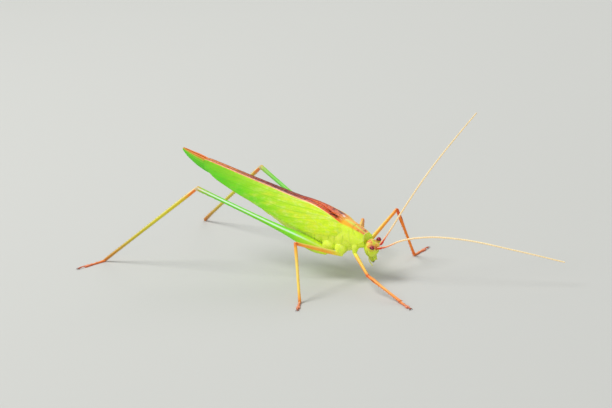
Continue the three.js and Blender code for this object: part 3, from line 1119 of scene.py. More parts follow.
@dataclass
class ForeWings:
    """The pair of fore wings, folded like a roof over the body with a narrow flat back.

    A row of ``section`` is the distance behind the base, the height of the fold, the depth of the side, and
    the half widths at the fold and at the lower edge. ``lap`` and ``underlap`` are the left and the right
    wing's reach across the middle near the base, and its lift there. A row of a main vein is a distance
    behind the base and a share of the depth. A row of ``spots`` is a spot's place, behind and outward, and
    its size.
    """

    length: float = 27.1
    section: Rows = (
        (-1.3, -1.4, 1.3, 0.85, 1.2), (0, -0.84, 1.85, 1.2, 1.86), (3, -0.14, 3.2, 1.02, 2.18),
        (6, 0.1, 3.95, 0.78, 2.1), (9, -0.06, 3.85, 0.66, 1.95), (14, -0.1, 3.48, 0.56, 1.6),
        (18, -0.12, 3.1, 0.53, 1.3), (22, -0.12, 2.68, 0.51, 1.02), (25, -0.13, 2.1, 0.5, 0.8),
        (26.4, -0.16, 1.52, 0.49, 0.66), (27.1, -0.26, 1.05, 0.48, 0.58),
    )
    front: float = 0.5
    front_below: float = 0.6
    lap: Sizes = (0.55, 0.13)
    underlap: Sizes = (-0.33, -0.05)
    crown: float = 0.08
    inset: float = 0.06
    thickness: float = 0.1
    thinning: float = 1.5
    vein_height: float = 0.035
    puff_height: float = 0.02
    rows: int = 560
    back_columns: int = 26
    side_columns: int = 96
    main_veins: tuple[Rows, ...] = (
        ((0.8, 0.1), (4, 0.38), (7.4, 0.62), (11.4, 0.85), (14.3, 1.02)),
        ((0.5, 0.06), (4, 0.25), (9, 0.46), (15, 0.64), (22, 0.86), (25.5, 1.02)),
        ((0.4, 0.03), (4, 0.13), (9, 0.27), (15, 0.4), (22, 0.6), (27.0, 0.95)),
        ((0.4, 0.0), (6, 0.05), (14, 0.15), (22, 0.3), (27.0, 0.6)),
    )
    lower_veins: BranchVeins = BranchVeins(
        count=13, first=5.0, step=1.55, slope=0.052, slope_step=0.002, bend=0.004, width=0.045)
    upper_veins: BranchVeins = BranchVeins(
        count=9, first=7.0, step=2.1, slope=0.03, slope_step=0.0, bend=0.0016, width=0.04)
    spots: Rows = ((2.75, 0.3, 0.24), (1.25, 0.8, 0.22), (1.45, 0.42, 0.2), (1.85, 0.68, 0.24),
                   (2.3, 0.86, 0.16))

    @staticmethod
    def posed(behind: Array, across: Array, height: Array) -> Array:
        """Wing places turned and carried to where the wings sit."""
        return stacked(-behind, across, height) @ turned(1, WING_PITCH).T + WING_BASE

    def squeezed(self, places: Array, room: float) -> Array:
        """Body places drawn in so that they stay inside the folded wings.

        Args:
            places: places of the body, in drawing axes.
            room: how far inside the wings' outer face they stay.

        Returns:
            The places, moved only where they would have touched.
        """
        roof_from, open_air, narrowest, sharpness = 0.3, 9.0, 0.1, 8
        local = (places - WING_BASE) @ turned(1, WING_PITCH)
        behind = -local[..., 0]
        height, depth, fold, edge = sizes_at(self.section, np.clip(behind, 0, self.length))
        ceiling = np.where(behind > roof_from, height - room, open_air)
        local[..., 2] = ceiling - np.logaddexp(0, (ceiling - local[..., 2]) * sharpness) / sharpness
        down = np.clip((height - local[..., 2]) / depth, 0, 1)
        limit = fold + (edge - fold) * np.sin(down * math.pi / 2) - room
        covered = (behind > roof_from) & (local[..., 2] > height - depth)
        limit = np.where(covered, np.maximum(limit, narrowest), open_air)
        local[..., 1] = np.clip(local[..., 1], -limit, limit)
        return local @ turned(1, WING_PITCH).T + WING_BASE

    def soften(self, line: Array) -> None:
        """Rounds the corner that the grid makes at the fold.

        Args:
            line: how far out or up each place is. It is changed in place.
        """
        reach, passes = 7, 3
        corner = slice(self.back_columns - 16, self.back_columns + 14)
        for _ in range(passes):
            padded = np.pad(line, ((0, 0), (reach, reach)), mode="reflect", reflect_type="odd")
            sums = np.cumsum(padded, axis=1)
            before = np.pad(sums, ((0, 0), (1, 0)))[:, :-2 * reach - 1]
            smooth = (sums[:, 2 * reach:] - before) / (2 * reach + 1)
            line[:, corner] = smooth[:, corner]

    def sheet(self, side: Side) -> WingSheet:
        """Lays out one wing, with its base lapped over or under the other wing's.

        Args:
            side: the wing's side.

        Returns:
            The wing's grid.
        """
        back = np.linspace(0, 1, self.back_columns, endpoint=False) - 1
        down = np.concatenate([back, np.linspace(0, 1, self.side_columns)])[None, :]
        share, below = np.clip(down + 1, 0, 1), np.clip(down, 0, 1)
        tip = self.length - 0.02
        start = -self.front - self.front_below * below
        behind = start + (tip - start) * np.linspace(0, 1, self.rows)[:, None]
        height, depth, fold, edge = sizes_at(self.section, behind)
        across, rise = self.lap if side is Side.LEFT else self.underlap
        inner = 0.02 - across * hill(behind - 1.6, 2.2)
        lift = rise * hill(behind - 1.9, 2.2) * ramp(behind - 0.9, 0.4)
        out = inner + (fold - inner) * share + (edge - fold) * np.sin(below * math.pi / 2)
        up = height + self.crown * (1 - share) + lift * (1 - share**3) - depth * below
        self.soften(out)
        self.soften(up)
        return WingSheet(behind, np.broadcast_to(down, out.shape), share, depth, fold, out, up)

    def side_veins(self, sheet: WingSheet) -> Array:
        """How much of a vein stands at each place of the side.

        Args:
            sheet: the wing's grid.

        Returns:
            Values from 0, between veins, to 1, on one.
        """
        behind, down, depth = sheet.behind, sheet.down, sheet.depth
        found = np.zeros(behind.shape)
        lines = [spline(stops, behind)[..., 0] for stops in self.main_veins]
        for stops, line in zip(self.main_veins, lines):
            ends = ramp(behind - stops[0][0], 0.2) * ramp(stops[-1][0] - behind, 0.2)
            found = np.maximum(found, 0.8 * ends * hill((down - line) * depth, 0.06))
        _, second, third, fourth = lines
        slack, soft, branch_share = 0.01, 0.02, 0.3
        below_second = ramp(down - second + slack, soft)
        between = ramp(third - down - slack, soft) * ramp(down - fourth, soft)
        lower = below_second * self.lower_veins.standing(sheet, self.main_veins[1])
        upper = between * self.upper_veins.standing(sheet, self.main_veins[3])
        cell_length, cell_depth, slant = 0.62, 0.3, 1.3
        mesh = cell_borders(behind / cell_length + down * slant, down * depth / cell_depth, 3)
        fine = np.maximum(np.maximum(lower, upper), hill(mesh, 0.11))
        return np.maximum(found, branch_share * fine)

    @staticmethod
    def back_veins(sheet: WingSheet) -> Array:
        """How much of a vein stands at each place of the back: a rail along it and a ladder of cells.

        Args:
            sheet: the wing's grid.

        Returns:
            Values from 0 to 1.
        """
        cell_length, cell_width = 0.55, 0.4
        ladder = cell_borders(sheet.behind / cell_length, sheet.out / cell_width, 8)
        rail = hill(sheet.out - sheet.fold * 0.55, 0.05)
        return np.maximum(0.5 * hill(ladder, 0.1), rail)

    def marks(self, sheet: WingSheet) -> dict[str, Array]:
        """The marks on the back at the wing's base: dark spots, a painted highlight and a red corner.

        Args:
            sheet: the wing's grid.

        Returns:
            How much of each mark there is at each place.
        """
        behind, out = sheet.behind, sheet.out
        spot = sum(hill(np.hypot(behind - s, out - y), size) for s, y, size in self.spots)
        spot = spot * (0.75 + 0.5 * grain(stacked(behind, out, sheet.up), 1.6, 7))
        # painted highlight: a small white glint on the back near the base
        glint = hill(np.hypot((behind - 0.85) / 1.3, out - 0.34), 0.16)
        corner = hill(np.hypot((behind - 0.75) / 1.2, out - sheet.fold * 0.92), 0.34)
        just_over = 0.05
        return {
            "spot": limited(1.4 * spot) * (sheet.down < just_over),
            "glint": glint * (sheet.down < 0),
            "corner": corner * (sheet.down < just_over),
        }

    def build_wing(self, side: Side) -> None:
        """Makes one fore wing: two skins a little apart, joined round the rim.

        Args:
            side: the wing's side.
        """
        sheet = self.sheet(side)
        on_side = sheet.down >= 0
        vein = np.where(on_side, self.side_veins(sheet), self.back_veins(sheet))
        middle = self.posed(sheet.behind, side.value * sheet.out, sheet.up)
        normal = outward(middle, closed=False)
        normal *= np.sign((normal * [0, side.value, 1]).sum())
        puff = grain(stacked(sheet.behind * 0.35, sheet.out, sheet.up), 0.8, 5) * on_side
        height = self.vein_height * vein + self.puff_height * puff
        taper = np.minimum(1, (self.length - sheet.behind) / self.thinning)
        outer = middle + normal * (height - self.inset)[..., None]
        inner = middle - normal * (self.inset + self.thickness * taper)[..., None]
        paint = {"along": sheet.behind / self.length, "down": sheet.down, "vein": vein}
        paint["outward"] = np.broadcast_to(sheet.share, vein.shape)
        paint.update(self.marks(sheet))
        surface = Surface()
        surface.patch(
            np.concatenate([outer, inner[:, ::-1]], axis=1),
            **{name: np.concatenate([value, value[:, ::-1]], axis=1) for name, value in paint.items()},
        )
        surface.build(f"fore_wing_{side.word}", FORE_WING, f"tegmen_{side.word}")

    def build(self) -> None:
        """Makes both fore wings."""
        for side in Side:
            self.build_wing(side)


@dataclass
class HindWings:
    """The folded fans that show beyond the fore wings' tips.

    A row of ``section`` is the distance behind the fore wings' base, the height of the upper edge and the
    depth.
    """

    first: float = 19.3
    last: float = 31.75
    section: Rows = (
        (19, -0.75, 1.85), (24, -0.7, 1.5), (26, -0.45, 1.74), (27.1, -0.22, 1.86),
        (28.3, -0.14, 1.68), (29.6, -0.1, 1.34), (31, -0.05, 0.82), (31.8, -0.03, 0.32),
    )
    gap: float = 0.05
    thickness: float = 0.36
    pleats: int = 5
    pleat_share: float = 0.14
    rows: int = 260
    columns: int = 72

    def build(self) -> None:
        """Makes both fans, each a plate with lengthwise pleats that thins to its tip."""
        angle = np.linspace(0, 2 * math.pi, self.columns, endpoint=False)[None, :]
        behind = np.linspace(self.first, self.last, self.rows)[:, None]
        height, depth = sizes_at(self.section, behind)
        down = 0.5 - 0.5 * np.cos(angle)
        pleat = np.cos(down * self.pleats * 2 * math.pi)
        thin = self.thickness * np.minimum(1, 0.25 + (self.last - behind) / 4)
        bulge = np.sign(np.sin(angle)) * np.abs(np.sin(angle)) ** 0.4
        out = self.gap + thin * (0.5 + 0.5 * bulge * (1 - self.pleat_share + self.pleat_share * pleat))
        for side in Side:
            surface = Surface()
            places = ForeWings.posed(behind, side.value * out, height - depth * down)
            surface.patch(places, down=down, vein=0.5 - 0.5 * pleat)
            surface.build(f"hind_wing_{side.word}", HIND_WING, f"hindwing_{side.word}")


# ---------- Body ----------


@dataclass
class Pronotum:
    """The saddle-shaped shield: a flat narrow disc above and a rounded lobe down each side.

    A row of ``stations`` is the share of the way back, the place along X, the height of the middle, and the
    half width and half height. ``heights`` has how high each feature of the relief stands.
    """

    stations: Rows = (
        (0.0, 3.5, 5.78, 1.46, 0.98),
        (1 / 3, 2.65, 5.99, 1.72, 1.22),
        (2 / 3, 1.75, 6.25, 1.94, 1.52),
        (1.0, 0.6, 6.6, 2.12, 1.86),
    )
    front: float = 3.5
    back: float = 0.6
    square: float = 2.45
    blunt_front: float = 8.0
    blunt_back: float = 18.0
    drop: float = 0.3
    fall: float = 0.26
    narrow: float = 0.3
    lean: float = -0.26
    pole: float = 0.03
    skin: float = -0.03
    rows: int = 220
    columns: int = 260
    heights: dict[str, float] = field(default_factory=lambda: {
        "rim": 0.03, "edge": 0.045, "carina": 0.035, "below": -0.12, "furrow": -0.05, "side_furrow": -0.035,
        "hollow": -0.03, "grain": 0.014, "cap": -0.12,
    })

    def form(self) -> tuple[Array, Array, Array, Array]:
        """The shield's plain shape, as a closed barrel.

        Returns:
            The places. Then for each, how far ahead it is (1 at the front pole, -1 at the back one), how far
            along the shield (0 at the back edge, 1 at the front) and how far round from the top, in radians.
        """
        tilt = np.linspace(self.pole, math.pi - self.pole, self.rows)[:, None]
        angle = round_about(self.columns)
        ahead = np.cos(tilt)
        blunt = np.where(ahead > 0, self.blunt_front, self.blunt_back)
        end = (1 - np.abs(ahead) ** blunt) ** (1 / blunt)
        x, z, half_width, half_height = sizes_at(self.stations, (1 - ahead) / 2)
        up = np.sign(np.cos(angle)) * np.abs(np.cos(angle)) ** (2 / self.square)
        across = np.sign(np.sin(angle)) * np.abs(np.sin(angle)) ** (2 / self.square)
        across = across * (1 - self.narrow * (up + 1) / 2)
        along = (x - self.back) / (self.front - self.back)
        fall = self.fall * ramp(along - 0.9, 0.16) * (up > 0)
        drop = self.drop * ramp(along - 0.25, 0.2) * (up < 0)
        rise = up * half_height * end * (1 - fall + drop)
        lobe = ramp(up - 0.62, 0.16) * np.clip((-ahead - 0.3) / 0.7, 0, 1) ** 2
        places = stacked(x + self.lean * rise - 0.5 * lobe, across * half_width * end, z + rise + 0.1 * lobe)
        along, turn = np.broadcast_arrays(along, np.abs(angle))
        return places, ahead, along, turn

    @staticmethod
    def features(places: Array, ahead: Array, along: Array, turn: Array) -> dict[str, Array]:
        """How much of each feature of the relief there is at each place.

        Args:
            places: the places of the plain shape.
            ahead: how far ahead each is.
            along: how far along the shield each is.
            turn: how far round from the top each is.

        Returns:
            The features by name.
        """
        margin = np.radians(112) + 0.3 * np.cos((along - 0.45) * 3.4) - 0.25
        below = ramp(turn - margin, 0.05)
        front, back = hill(ahead - 0.955, 0.03), hill(ahead + 0.965, 0.035)
        disc = ramp(0.45 - turn, 0.1)
        side_furrow = hill(along - 0.36 + 0.1 * (turn - 1.2), 0.05) * ramp(turn - 1.0, 0.1)
        return {
            "below": below,
            "rim": hill(turn - margin + 0.04, 0.06),
            "edge": (front + 1.4 * back) * (1 - below),
            "carina": hill(turn - 0.6, 0.12) * ramp(0.93 - np.abs(ahead), 0.03),
            "disc": disc,
            "hollow": disc * hill(turn, 0.35),
            "furrow": hill(along - 0.5 - 0.1 * turn**2, 0.035) * ramp(1.3 - turn, 0.12),
            "side_furrow": side_furrow * (1 - below),
            "grain": cuticle_grain(places, 3.2, 11) * (1 - 0.5 * disc),
            "cap": ramp(np.abs(ahead) - 0.985, 0.006),
        }

    def build(self) -> None:
        """Makes the shield over its softer underside, with its rims, furrow and fine relief."""
        places, ahead, along, turn = self.form()
        found = self.features(places, ahead, along, turn)
        places = embossed(places, self.skin + raised(self.heights, found))
        places = (places - PRONOTUM_PIVOT) @ turned(2, PRONOTUM_YAW).T + PRONOTUM_PIVOT
        front_collar, back_collar = 0.6 * hill(ahead - 0.95, 0.022), 0.45 * hill(ahead + 0.972, 0.014)
        edges = plateau(turn - 0.43 + 0.14 * along, 0.29) * ramp(0.95 - ahead, 0.01)
        hind_edge = 0.9 * hill(along, 0.16) * ramp(0.62 - turn, 0.08)
        surface = Surface()
        surface.patch(
            places, along=along,
            disc=found["disc"] * ramp(0.98 - ahead, 0.004),
            band=limited(edges, hind_edge),
            collar=(front_collar + back_collar) * (1 - found["below"]),
            groove=limited(0.7 * found["furrow"], 0.6 * found["side_furrow"], 0.35 * found["below"]),
        )
        surface.build("pronotum_shield", PRONOTUM_SHELL, "pronotum")


@dataclass
class Trunk:
    """Thorax and abdomen under the wings, in one skin, with the plates' seams and the abdomen's rings.

    A row of ``stations`` is the place along X, the height of the middle, and the half width and half height.
    A row of ``seams`` is where a seam of the thorax stands, and how far it leans.
    """

    stations: Rows = (
        (-15.3, 8.92, 0.9, 1.24), (-13.5, 8.6, 1.2, 1.6), (-11, 7.85, 1.55, 2.04),
        (-8, 7.0, 1.82, 2.36), (-5.6, 6.6, 1.95, 2.36), (-4, 6.38, 2.02, 2.36),
        (-2, 6.1, 2.04, 2.42), (0, 5.92, 1.9, 2.2), (1.4, 5.66, 1.52, 1.74),
    )
    seams: Rows = ((0.55, 0.25), (-0.75, 0.42), (-1.75, 0.3), (-3.05, 0.42), (-4.3, 0.3))
    front: float = 1.72
    back: float = -15.65
    ring: float = 1.18
    waist: float = -4.9
    skin: float = -0.06
    room: float = 0.26
    rows: int = 520
    columns: int = 180
    heights: dict[str, float] = field(default_factory=lambda: {
        "seam": -0.07, "base_line": -0.05, "bulge": 0.07, "plate": 0.05, "overhang": -0.05, "pleura": -0.09,
        "belly": -0.05, "grain": 0.012,
    })
    cercus_stops: Rows = ((-14.7, 0.55, 8.95), (-15.5, 0.74, 9.15), (-16.3, 0.66, 9.45), (-16.95, 0.3, 9.75))
    cercus_radii: Sizes = (0.3, 0.26, 0.18, 0.14, 0.08)
    plate_stops: Rows = ((-13.1, 0, 7.55), (-14.6, 0, 7.8), (-15.6, 0, 8.1), (-16.15, 0, 8.4))
    plate_radii: Sizes = (0.62, 0.66, 0.52, 0.34, 0.26)

    def form(self) -> tuple[Array, Array, Array]:
        """The trunk's plain shape.

        Returns:
            The places, the places along X that its rings start from, and the angle round from the top.
        """
        x = np.linspace(self.front - 0.02, self.back + 0.03, self.rows)[:, None]
        z, half_width, half_height = sizes_at(self.stations, x)
        front_dome, back_dome, smallest = 1.1, 1.0, 1e-3
        cap = np.minimum(np.minimum((self.front - x) / front_dome, (x - self.back) / back_dome), 1)
        end = np.sqrt(np.clip(1 - (1 - cap) ** 2, smallest, 1)) ** 0.8
        angle = round_about(self.columns)
        rise = np.cos(angle) * half_height * end
        return stacked(x + 0.1 * rise, np.sin(angle) * half_width * end, z + rise), x, angle

    def features(self, places: Array, x: Array, angle: Array) -> dict[str, Array]:
        """How much of each feature of the relief there is at each place.

        Args:
            places: the places of the plain shape.
            x: the place along X of each ring.
            angle: the angle round from the top.

        Returns:
            The features by name.
        """
        turn = np.abs(angle)
        thorax = ramp(x - self.waist, 0.15)
        tail = 1 - thorax
        seam = sum(hill(x - place - lean * 1.6 * np.cos(angle), 0.075) for place, lean in self.seams)
        phase = (self.waist - x) / self.ring
        inside = phase - np.floor(phase)
        under = ramp(turn - 2.25, 0.03)
        return {
            "seam": limited(seam * thorax) * ramp(turn - 0.5, 0.1) * ramp(2.55 - turn, 0.1),
            "base_line": hill(turn - 2.3 + 0.1 * np.sin(x * 2.4), 0.05) * thorax,
            "bulge": np.cos((x - 0.1) * 2.6) * thorax * hill(turn - 1.7, 0.7),
            "plate": tail * inside**3,
            "overhang": tail * ramp(inside - 0.94, 0.02),
            "pleura": hill(turn - 2.2, 0.07) * tail,
            "belly": under * tail,
            "grain": cuticle_grain(places, 3.0, 31),
            "joint": tail * hill(inside - 0.02, 0.05),
            "margin": tail * ramp(inside - 0.8, 0.04) * (1 - under),
            "back": tail * ramp(0.35 - turn, 0.06),
        }

    def build(self, wings: ForeWings) -> None:
        """Makes the skin.

        Args:
            wings: the wings that it has to fit under.
        """
        places, x, angle = self.form()
        found = self.features(places, x, angle)
        places = embossed(places, self.skin + raised(self.heights, found))
        places = wings.squeezed(places, self.room)
        groove = limited(found["seam"], found["base_line"], 0.4 * found["pleura"], found["joint"])
        surface = Surface()
        surface.patch(places, groove=groove, margin=found["margin"], back=found["back"])
        surface.build("trunk", BODY_SHELL, "thorax", "abdomen")

    def build_cerci(self) -> None:
        """Makes the two incurved cerci at the tail."""
        for side in Side:
            path = route(np.array(self.cercus_stops) * [1, side.value, 1], 60)
            places, _ = rod(path, self.cercus_radii, (0.1, 0.06), 20)
            surface = Surface()
            surface.patch(places, along=shares(path))
            surface.build(f"cercus_hook_{side.word}", CERCUS, f"cercus_{side.word}")

    def build_plate(self) -> None:
        """Makes the keeled and notched plate under the tail."""
        path = route(self.plate_stops, 90)
        along = shares(path)
        places, top = rod(path, self.plate_radii, (0.5, 0.12), 48, depth=0.5)
        keel = hill(top + 1, 0.12)
        places[..., 2] -= 0.06 * keel
        places[..., 0] += 0.22 * hill(places[..., 1], 0.1) * ramp(along - 0.93, 0.02)
        surface = Surface()
        surface.patch(places, margin=ramp(along - 0.85, 0.05), groove=0.36 * keel)
        surface.build("under_tail_plate", BODY_SHELL, "subgenital_plate")


# ---------- Head ----------


@dataclass
class Head:
    """The head in its own axes: +X out of the face, +Y to its left and +Z out of the crown.

    A row of ``skull`` is the height, how far forward the middle is, and the half depth and half width.
    ``heights`` has how high each feature of the relief stands.
    """

    skull: Rows = (
        (-1.85, 0.15, 0.62, 0.72),
        (-1.1, 0.1, 0.9, 0.98),
        (-0.2, 0.02, 1.08, 1.2),
        (0.6, 0.0, 1.12, 1.22),
        (1.2, 0.0, 0.98, 1.05),
    )
    chin: float = -1.85
    crown: float = 1.2
    skin: float = -0.03
    eye_centre: Triple = (0.5, 1.12, 0.62)
    eye_radii: Triple = (0.37, 0.34, 0.47)
    socket: Triple = (1.05, 0.42, 0.5)
    beads: Rows = ((1.08, 0.0, 0.3), (0.93, 0.53, 0.88), (0.93, -0.53, 0.88))
    bead_radius: float = 0.055
    lip_centre: Triple = (0.78, 0, -1.6)
    lip_radii: Triple = (0.2, 0.44, 0.5)
    jaw_stops: Rows = ((0.3, 0.46, -1.25), (0.5, 0.46, -1.72), (0.68, 0.28, -2.1), (0.74, 0.06, -2.34))
    jaw_radii: Sizes = (0.24, 0.28, 0.24, 0.16, 0.07)
    palp_stops: tuple[Rows, ...] = (
        ((0.1, 0.6, -1.25), (0.22, 0.8, -1.6), (0.46, 0.88, -1.92), (0.74, 0.82, -2.22), (0.84, 0.72, -2.5)),
        ((0.05, 0.36, -1.6), (0.1, 0.46, -1.92), (0.26, 0.48, -2.2), (0.4, 0.4, -2.42)),
    )
    palp_radii: Sizes = (0.055, 0.065, 0.085)
    rows: int = 220
    columns: int = 260
    heights: dict[str, float] = field(default_factory=lambda: {
        "eye_ring": 0.07, "eye_bed": -0.06, "socket_ring": 0.09, "socket_bed": -0.07, "peak": 0.42,
        "peak_groove": -0.05, "brow": 0.04, "mouth_line": -0.06, "side_line": -0.06, "mouth_plate": 0.05,
        "cheek": -0.06, "jaw_line": -0.05, "face_bulge": 0.07, "nape": -0.04, "pits": 0.01,
    })

    @property
    def turn(self) -> Array:
        """The matrix that turns head axes into drawing axes."""
        return turned(2, HEAD_YAW) @ turned(1, HEAD_PITCH) @ turned(0, HEAD_ROLL)

    def posed(self, places: Array) -> Array:
        """Head places carried to where the head sits."""
        return places @ self.turn.T + HEAD_CENTRE

    def form(self) -> Array:
        """The skull's plain shape.

        Returns:
            The places of a smooth egg, in head axes.
        """
        pole = 0.02
        tilt = np.linspace(pole, math.pi - pole, self.rows)[:, None]
        angle = round_about(self.columns)
        high = self.chin + (np.cos(tilt) + 1) / 2 * (self.crown - self.chin)
        forward, half_depth, half_width = sizes_at(self.skull, high)
        ring = np.sin(tilt)
        return stacked(forward + half_depth * np.cos(angle) * ring, half_width * np.sin(angle) * ring, high)

    def features(self, places: Array) -> dict[str, Array]:
        """How much of each feature of the relief there is at each place.

        Args:
            places: the places of the plain shape, in head axes.

        Returns:
            The features by name.
        """
        x, y, z = (places[..., k] for k in range(3))
        wide = np.abs(y)
        mirrored = stacked(x, wide, z)
        eye = np.linalg.norm((mirrored - self.eye_centre) / self.eye_radii, axis=-1)
        socket = np.linalg.norm(mirrored - self.socket, axis=-1)
        face = ramp(x - 0.3, 0.15)
        brow = hill(wide - 0.66, 0.1) * ramp(0.15 - z, 0.15) * ramp(z + 1.3, 0.1)
        cheek = hill(x - 0.12 + 0.25 * (z + 0.9), 0.06) * ramp(0.1 - z, 0.1)
        jaw_line = hill(z + 1.28 - 0.3 * (x - 0.3), 0.05) * ramp(x + 0.2, 0.1)
        return {
            "eye_ring": hill(eye - 1.14, 0.13),
            "eye_bed": ramp(1.0 - eye, 0.08),
            "eye_rim": hill(eye - 1.14, 0.1) * ramp(0.5 - z, 0.1),
            "eye_red": hill(eye - 1.2, 0.14) * ramp(0.4 - x, 0.1),
            "socket_ring": hill(socket - 0.27, 0.07),
            "socket_bed": ramp(0.21 - socket, 0.04),
            "socket_red": hill(socket - 0.27, 0.08),
            "peak": hill(y, 0.13) * ramp(x - 0.4, 0.1) * hill(z - 0.72, 0.26),
            "peak_groove": hill(y, 0.035) * ramp(z - 0.5, 0.05) * ramp(x + 0.1, 0.3),
            "brow": brow * ramp(x - 0.2, 0.1),
            "mouth_line": hill(z + 1.0 + 0.14 * y**2, 0.05) * face,
            "side_line": hill(wide - 0.5 - 0.12 * (z + 1.2), 0.045) * face * ramp(-0.95 - z, 0.05),
            "mouth_plate": ramp(0.46 - wide, 0.05) * ramp(-1.04 - z, 0.03) * face,
            "cheek": cheek * ramp(wide - 0.5, 0.1),
            "jaw_line": jaw_line * ramp(wide - 0.5, 0.05),
            "face_bulge": hill(np.hypot(y / 0.8, z + 0.4), 0.5) * face,
            "nape": ramp(-x - 0.55, 0.1),
            "pits": np.clip(grain(places, 3.4, 41), -2, 0.2),
            "crown": ramp(z + 0.22 * x - 0.42, 0.16),
            "speckled": ramp(0.35 - z, 0.15) * ramp(x + 0.2, 0.2),
        }

    def add_lip(self, surface: Surface) -> None:
        """Adds the labrum, the lip that hangs over the jaws, with its two grooves.

        Args:
            surface: what it is added to.
        """
        lip = ellipsoid(np.array(self.lip_centre), np.diag(self.lip_radii), 60, 72)
        middle_line = hill(lip[..., 1], 0.04) * ramp(-1.7 - lip[..., 2], 0.05)
        cross_line = hill(lip[..., 2] + 1.32 + 0.1 * lip[..., 1], 0.04)
        lip = embossed(lip, -0.05 * middle_line - 0.04 * cross_line)
        surface.patch(self.posed(lip), groove=0.8 * limited(middle_line, cross_line), speckled=0.6)

    def build_capsule(self) -> None:
        """Makes the skull with its peak, brow, sockets, cheeks and lip, and its three small beads."""
        places = self.form()
        found = self.features(places)
        lines = (found[name] for name in ("mouth_line", "side_line", "cheek", "jaw_line", "peak_groove"))
        surface = Surface()
        surface.patch(
            self.posed(embossed(places, self.skin + raised(self.heights, found))),
            crown=found["crown"], groove=limited(*lines), speckled=found["speckled"], rim=found["eye_rim"],
            red=limited(0.8 * found["socket_red"], 0.6 * found["eye_red"]),
        )
        self.add_lip(surface)
        for place in self.beads:
            bead = ellipsoid(np.array(place), np.eye(3) * self.bead_radius)
            surface.patch(self.posed(bead), rim=0.5)
        surface.build("head_capsule", HEAD_SHELL, "head", "labrum")

    def build_eyes(self) -> None:
        """Makes the two compound eyes."""
        for side in Side:
            centre = np.array(self.eye_centre) * [1, side.value, 1]
            places = ellipsoid(centre, np.diag(self.eye_radii), 72, 96)
            low = 0.5 - (places[..., 2] - centre[2]) / (2 * self.eye_radii[2])
            surface = Surface()
            surface.patch(self.posed(places), low=low)
            surface.build(f"compound_eye_{side.word}", EYE, f"eye_{side.word}")

    def build_jaw(self, side: Side) -> None:
        """Makes one jaw.

        Args:
            side: the jaw's side.
        """
        path = route(np.array(self.jaw_stops) * [1, side.value, 1], 60)
        places, _ = rod(path, self.jaw_radii, (0.15, 0.06), 28, depth=0.8, above=np.array([1.0, 0, 0]))
        surface = Surface()
        surface.patch(self.posed(places), along=shares(path))
        surface.build(f"jaw_{side.word}", JAW, f"mandible_{side.word}")

    def build_palps(self, side: Side) -> None:
        """Makes the long and the short palp of one side, joint by joint.

        Args:
            side: the palps' side.
        """
        surface = Surface()
        for stops in self.palp_stops:
            for first, last in zip(stops, stops[1:]):
                path = np.linspace(first, last, 24) * [1, side.value, 1]
                places, _ = rod(path, self.palp_radii, (0.04, 0.08), 16)
                surface.patch(self.posed(places), along=0.6 * shares(path))
        surface.build(f"palps_{side.word}", PALP, f"palp_{side.word}")

    def build(self) -> None:
        """Makes the capsule, the eyes, and the jaws and palps of each side."""
        self.build_capsule()
        self.build_eyes()
        for side in Side:
            self.build_jaw(side)
            self.build_palps(side)


@dataclass
class Antenna:
    """One antenna: a stout first joint, a small second, then a long lash of short joints.

    A row of ``steps`` is how far out along the heading and how far up from the socket the antenna passes.
    """

    side: Side
    heading: float
    steps: Rows
    joint: float = 0.34
    lash_from: float = 1.2
    base: float = 0.72
    base_radii: Rows = ((0, 0.15), (0.2, 0.195), (0.62, 0.185), (0.74, 0.12), (0.9, 0.15), (1.15, 0.13),
                        (3, 0.125))
    middle_radius: float = 0.105
    tip_radius: float = 0.08
    count: int = 1600

    def build(self, head: Head) -> None:
        """Makes the antenna.

        Args:
            head: the head that it stands on.
        """
        socket = head.posed(np.array(head.socket) * [1, self.side.value, 1])
        flat = np.array([math.cos(self.heading), math.sin(self.heading), 0])
        path = route([socket + reach * flat + rise * UP for reach, rise in self.steps], self.count)
        length = reach_along(path)[-1]
        at = np.linspace(0, length, self.count)
        stations = (*self.base_radii, (length * 0.6, self.middle_radius), (length, self.tip_radius))
        phase = (at - self.lash_from) / self.joint
        ring = hill((phase - np.round(phase)) * self.joint, 0.035) * (at > self.lash_from)
        radii = spline(stations, at)[:, 0] * (1 + 0.06 * ring)
        for name, finish, part, nodes in (
            ("antenna_base", ANTENNA_BASE, at < self.base, ("scape",)),
            ("antenna", ANTENNA, at > self.base - 0.06, ("length_1", "length_2", "length_3")),
        ):
            places, top = tube(path[part], rounded(radii[part], path[part], 0.05, 0.06), 16)
            surface = Surface()
            surface.patch(places, along=(at[part] / length)[:, None], top=top, ring=ring[part, None])
            replaces = (f"antenna_{self.side.word}_{node}" for node in nodes)
            surface.build(f"{name}_{self.side.word}", finish, *replaces)


ANTENNAE = (
    Antenna(Side.RIGHT, math.radians(17),
            ((0, 0), (1, 0.15), (3.5, 1.07), (8, 1.72), (12.3, 1.51), (20, 0.1), (26.9, -1.42))),
    Antenna(Side.LEFT, math.radians(45),
            ((0, 0), (0.54, 0.6), (1.83, 2.1), (3.35, 4.02), (8.17, 9.63), (11.9, 13.38), (15.2, 16.48))),
)


# ---------- Legs ----------


@dataclass(frozen=True)
class LegKind:
    """What a pair of legs has in common: sizes in millimetres, spines and finishes.

    ``root`` is where the left leg leaves the body. Radii are spaced evenly along their part. Spines start at
    the share ``spines_from`` of the tibia, on the faces below (-1) and above (1).
    """

    root: Triple
    coxa_radii: Sizes
    femur_radii: Sizes
    femur_depth: float
    femur_rings: int
    femur_finish: LegFinish
    tibia_radii: Sizes
    tibia_rings: int
    tibia_finish: LegFinish
    spines_from: float
    spine_count: int
    spine_faces: tuple[int, ...]


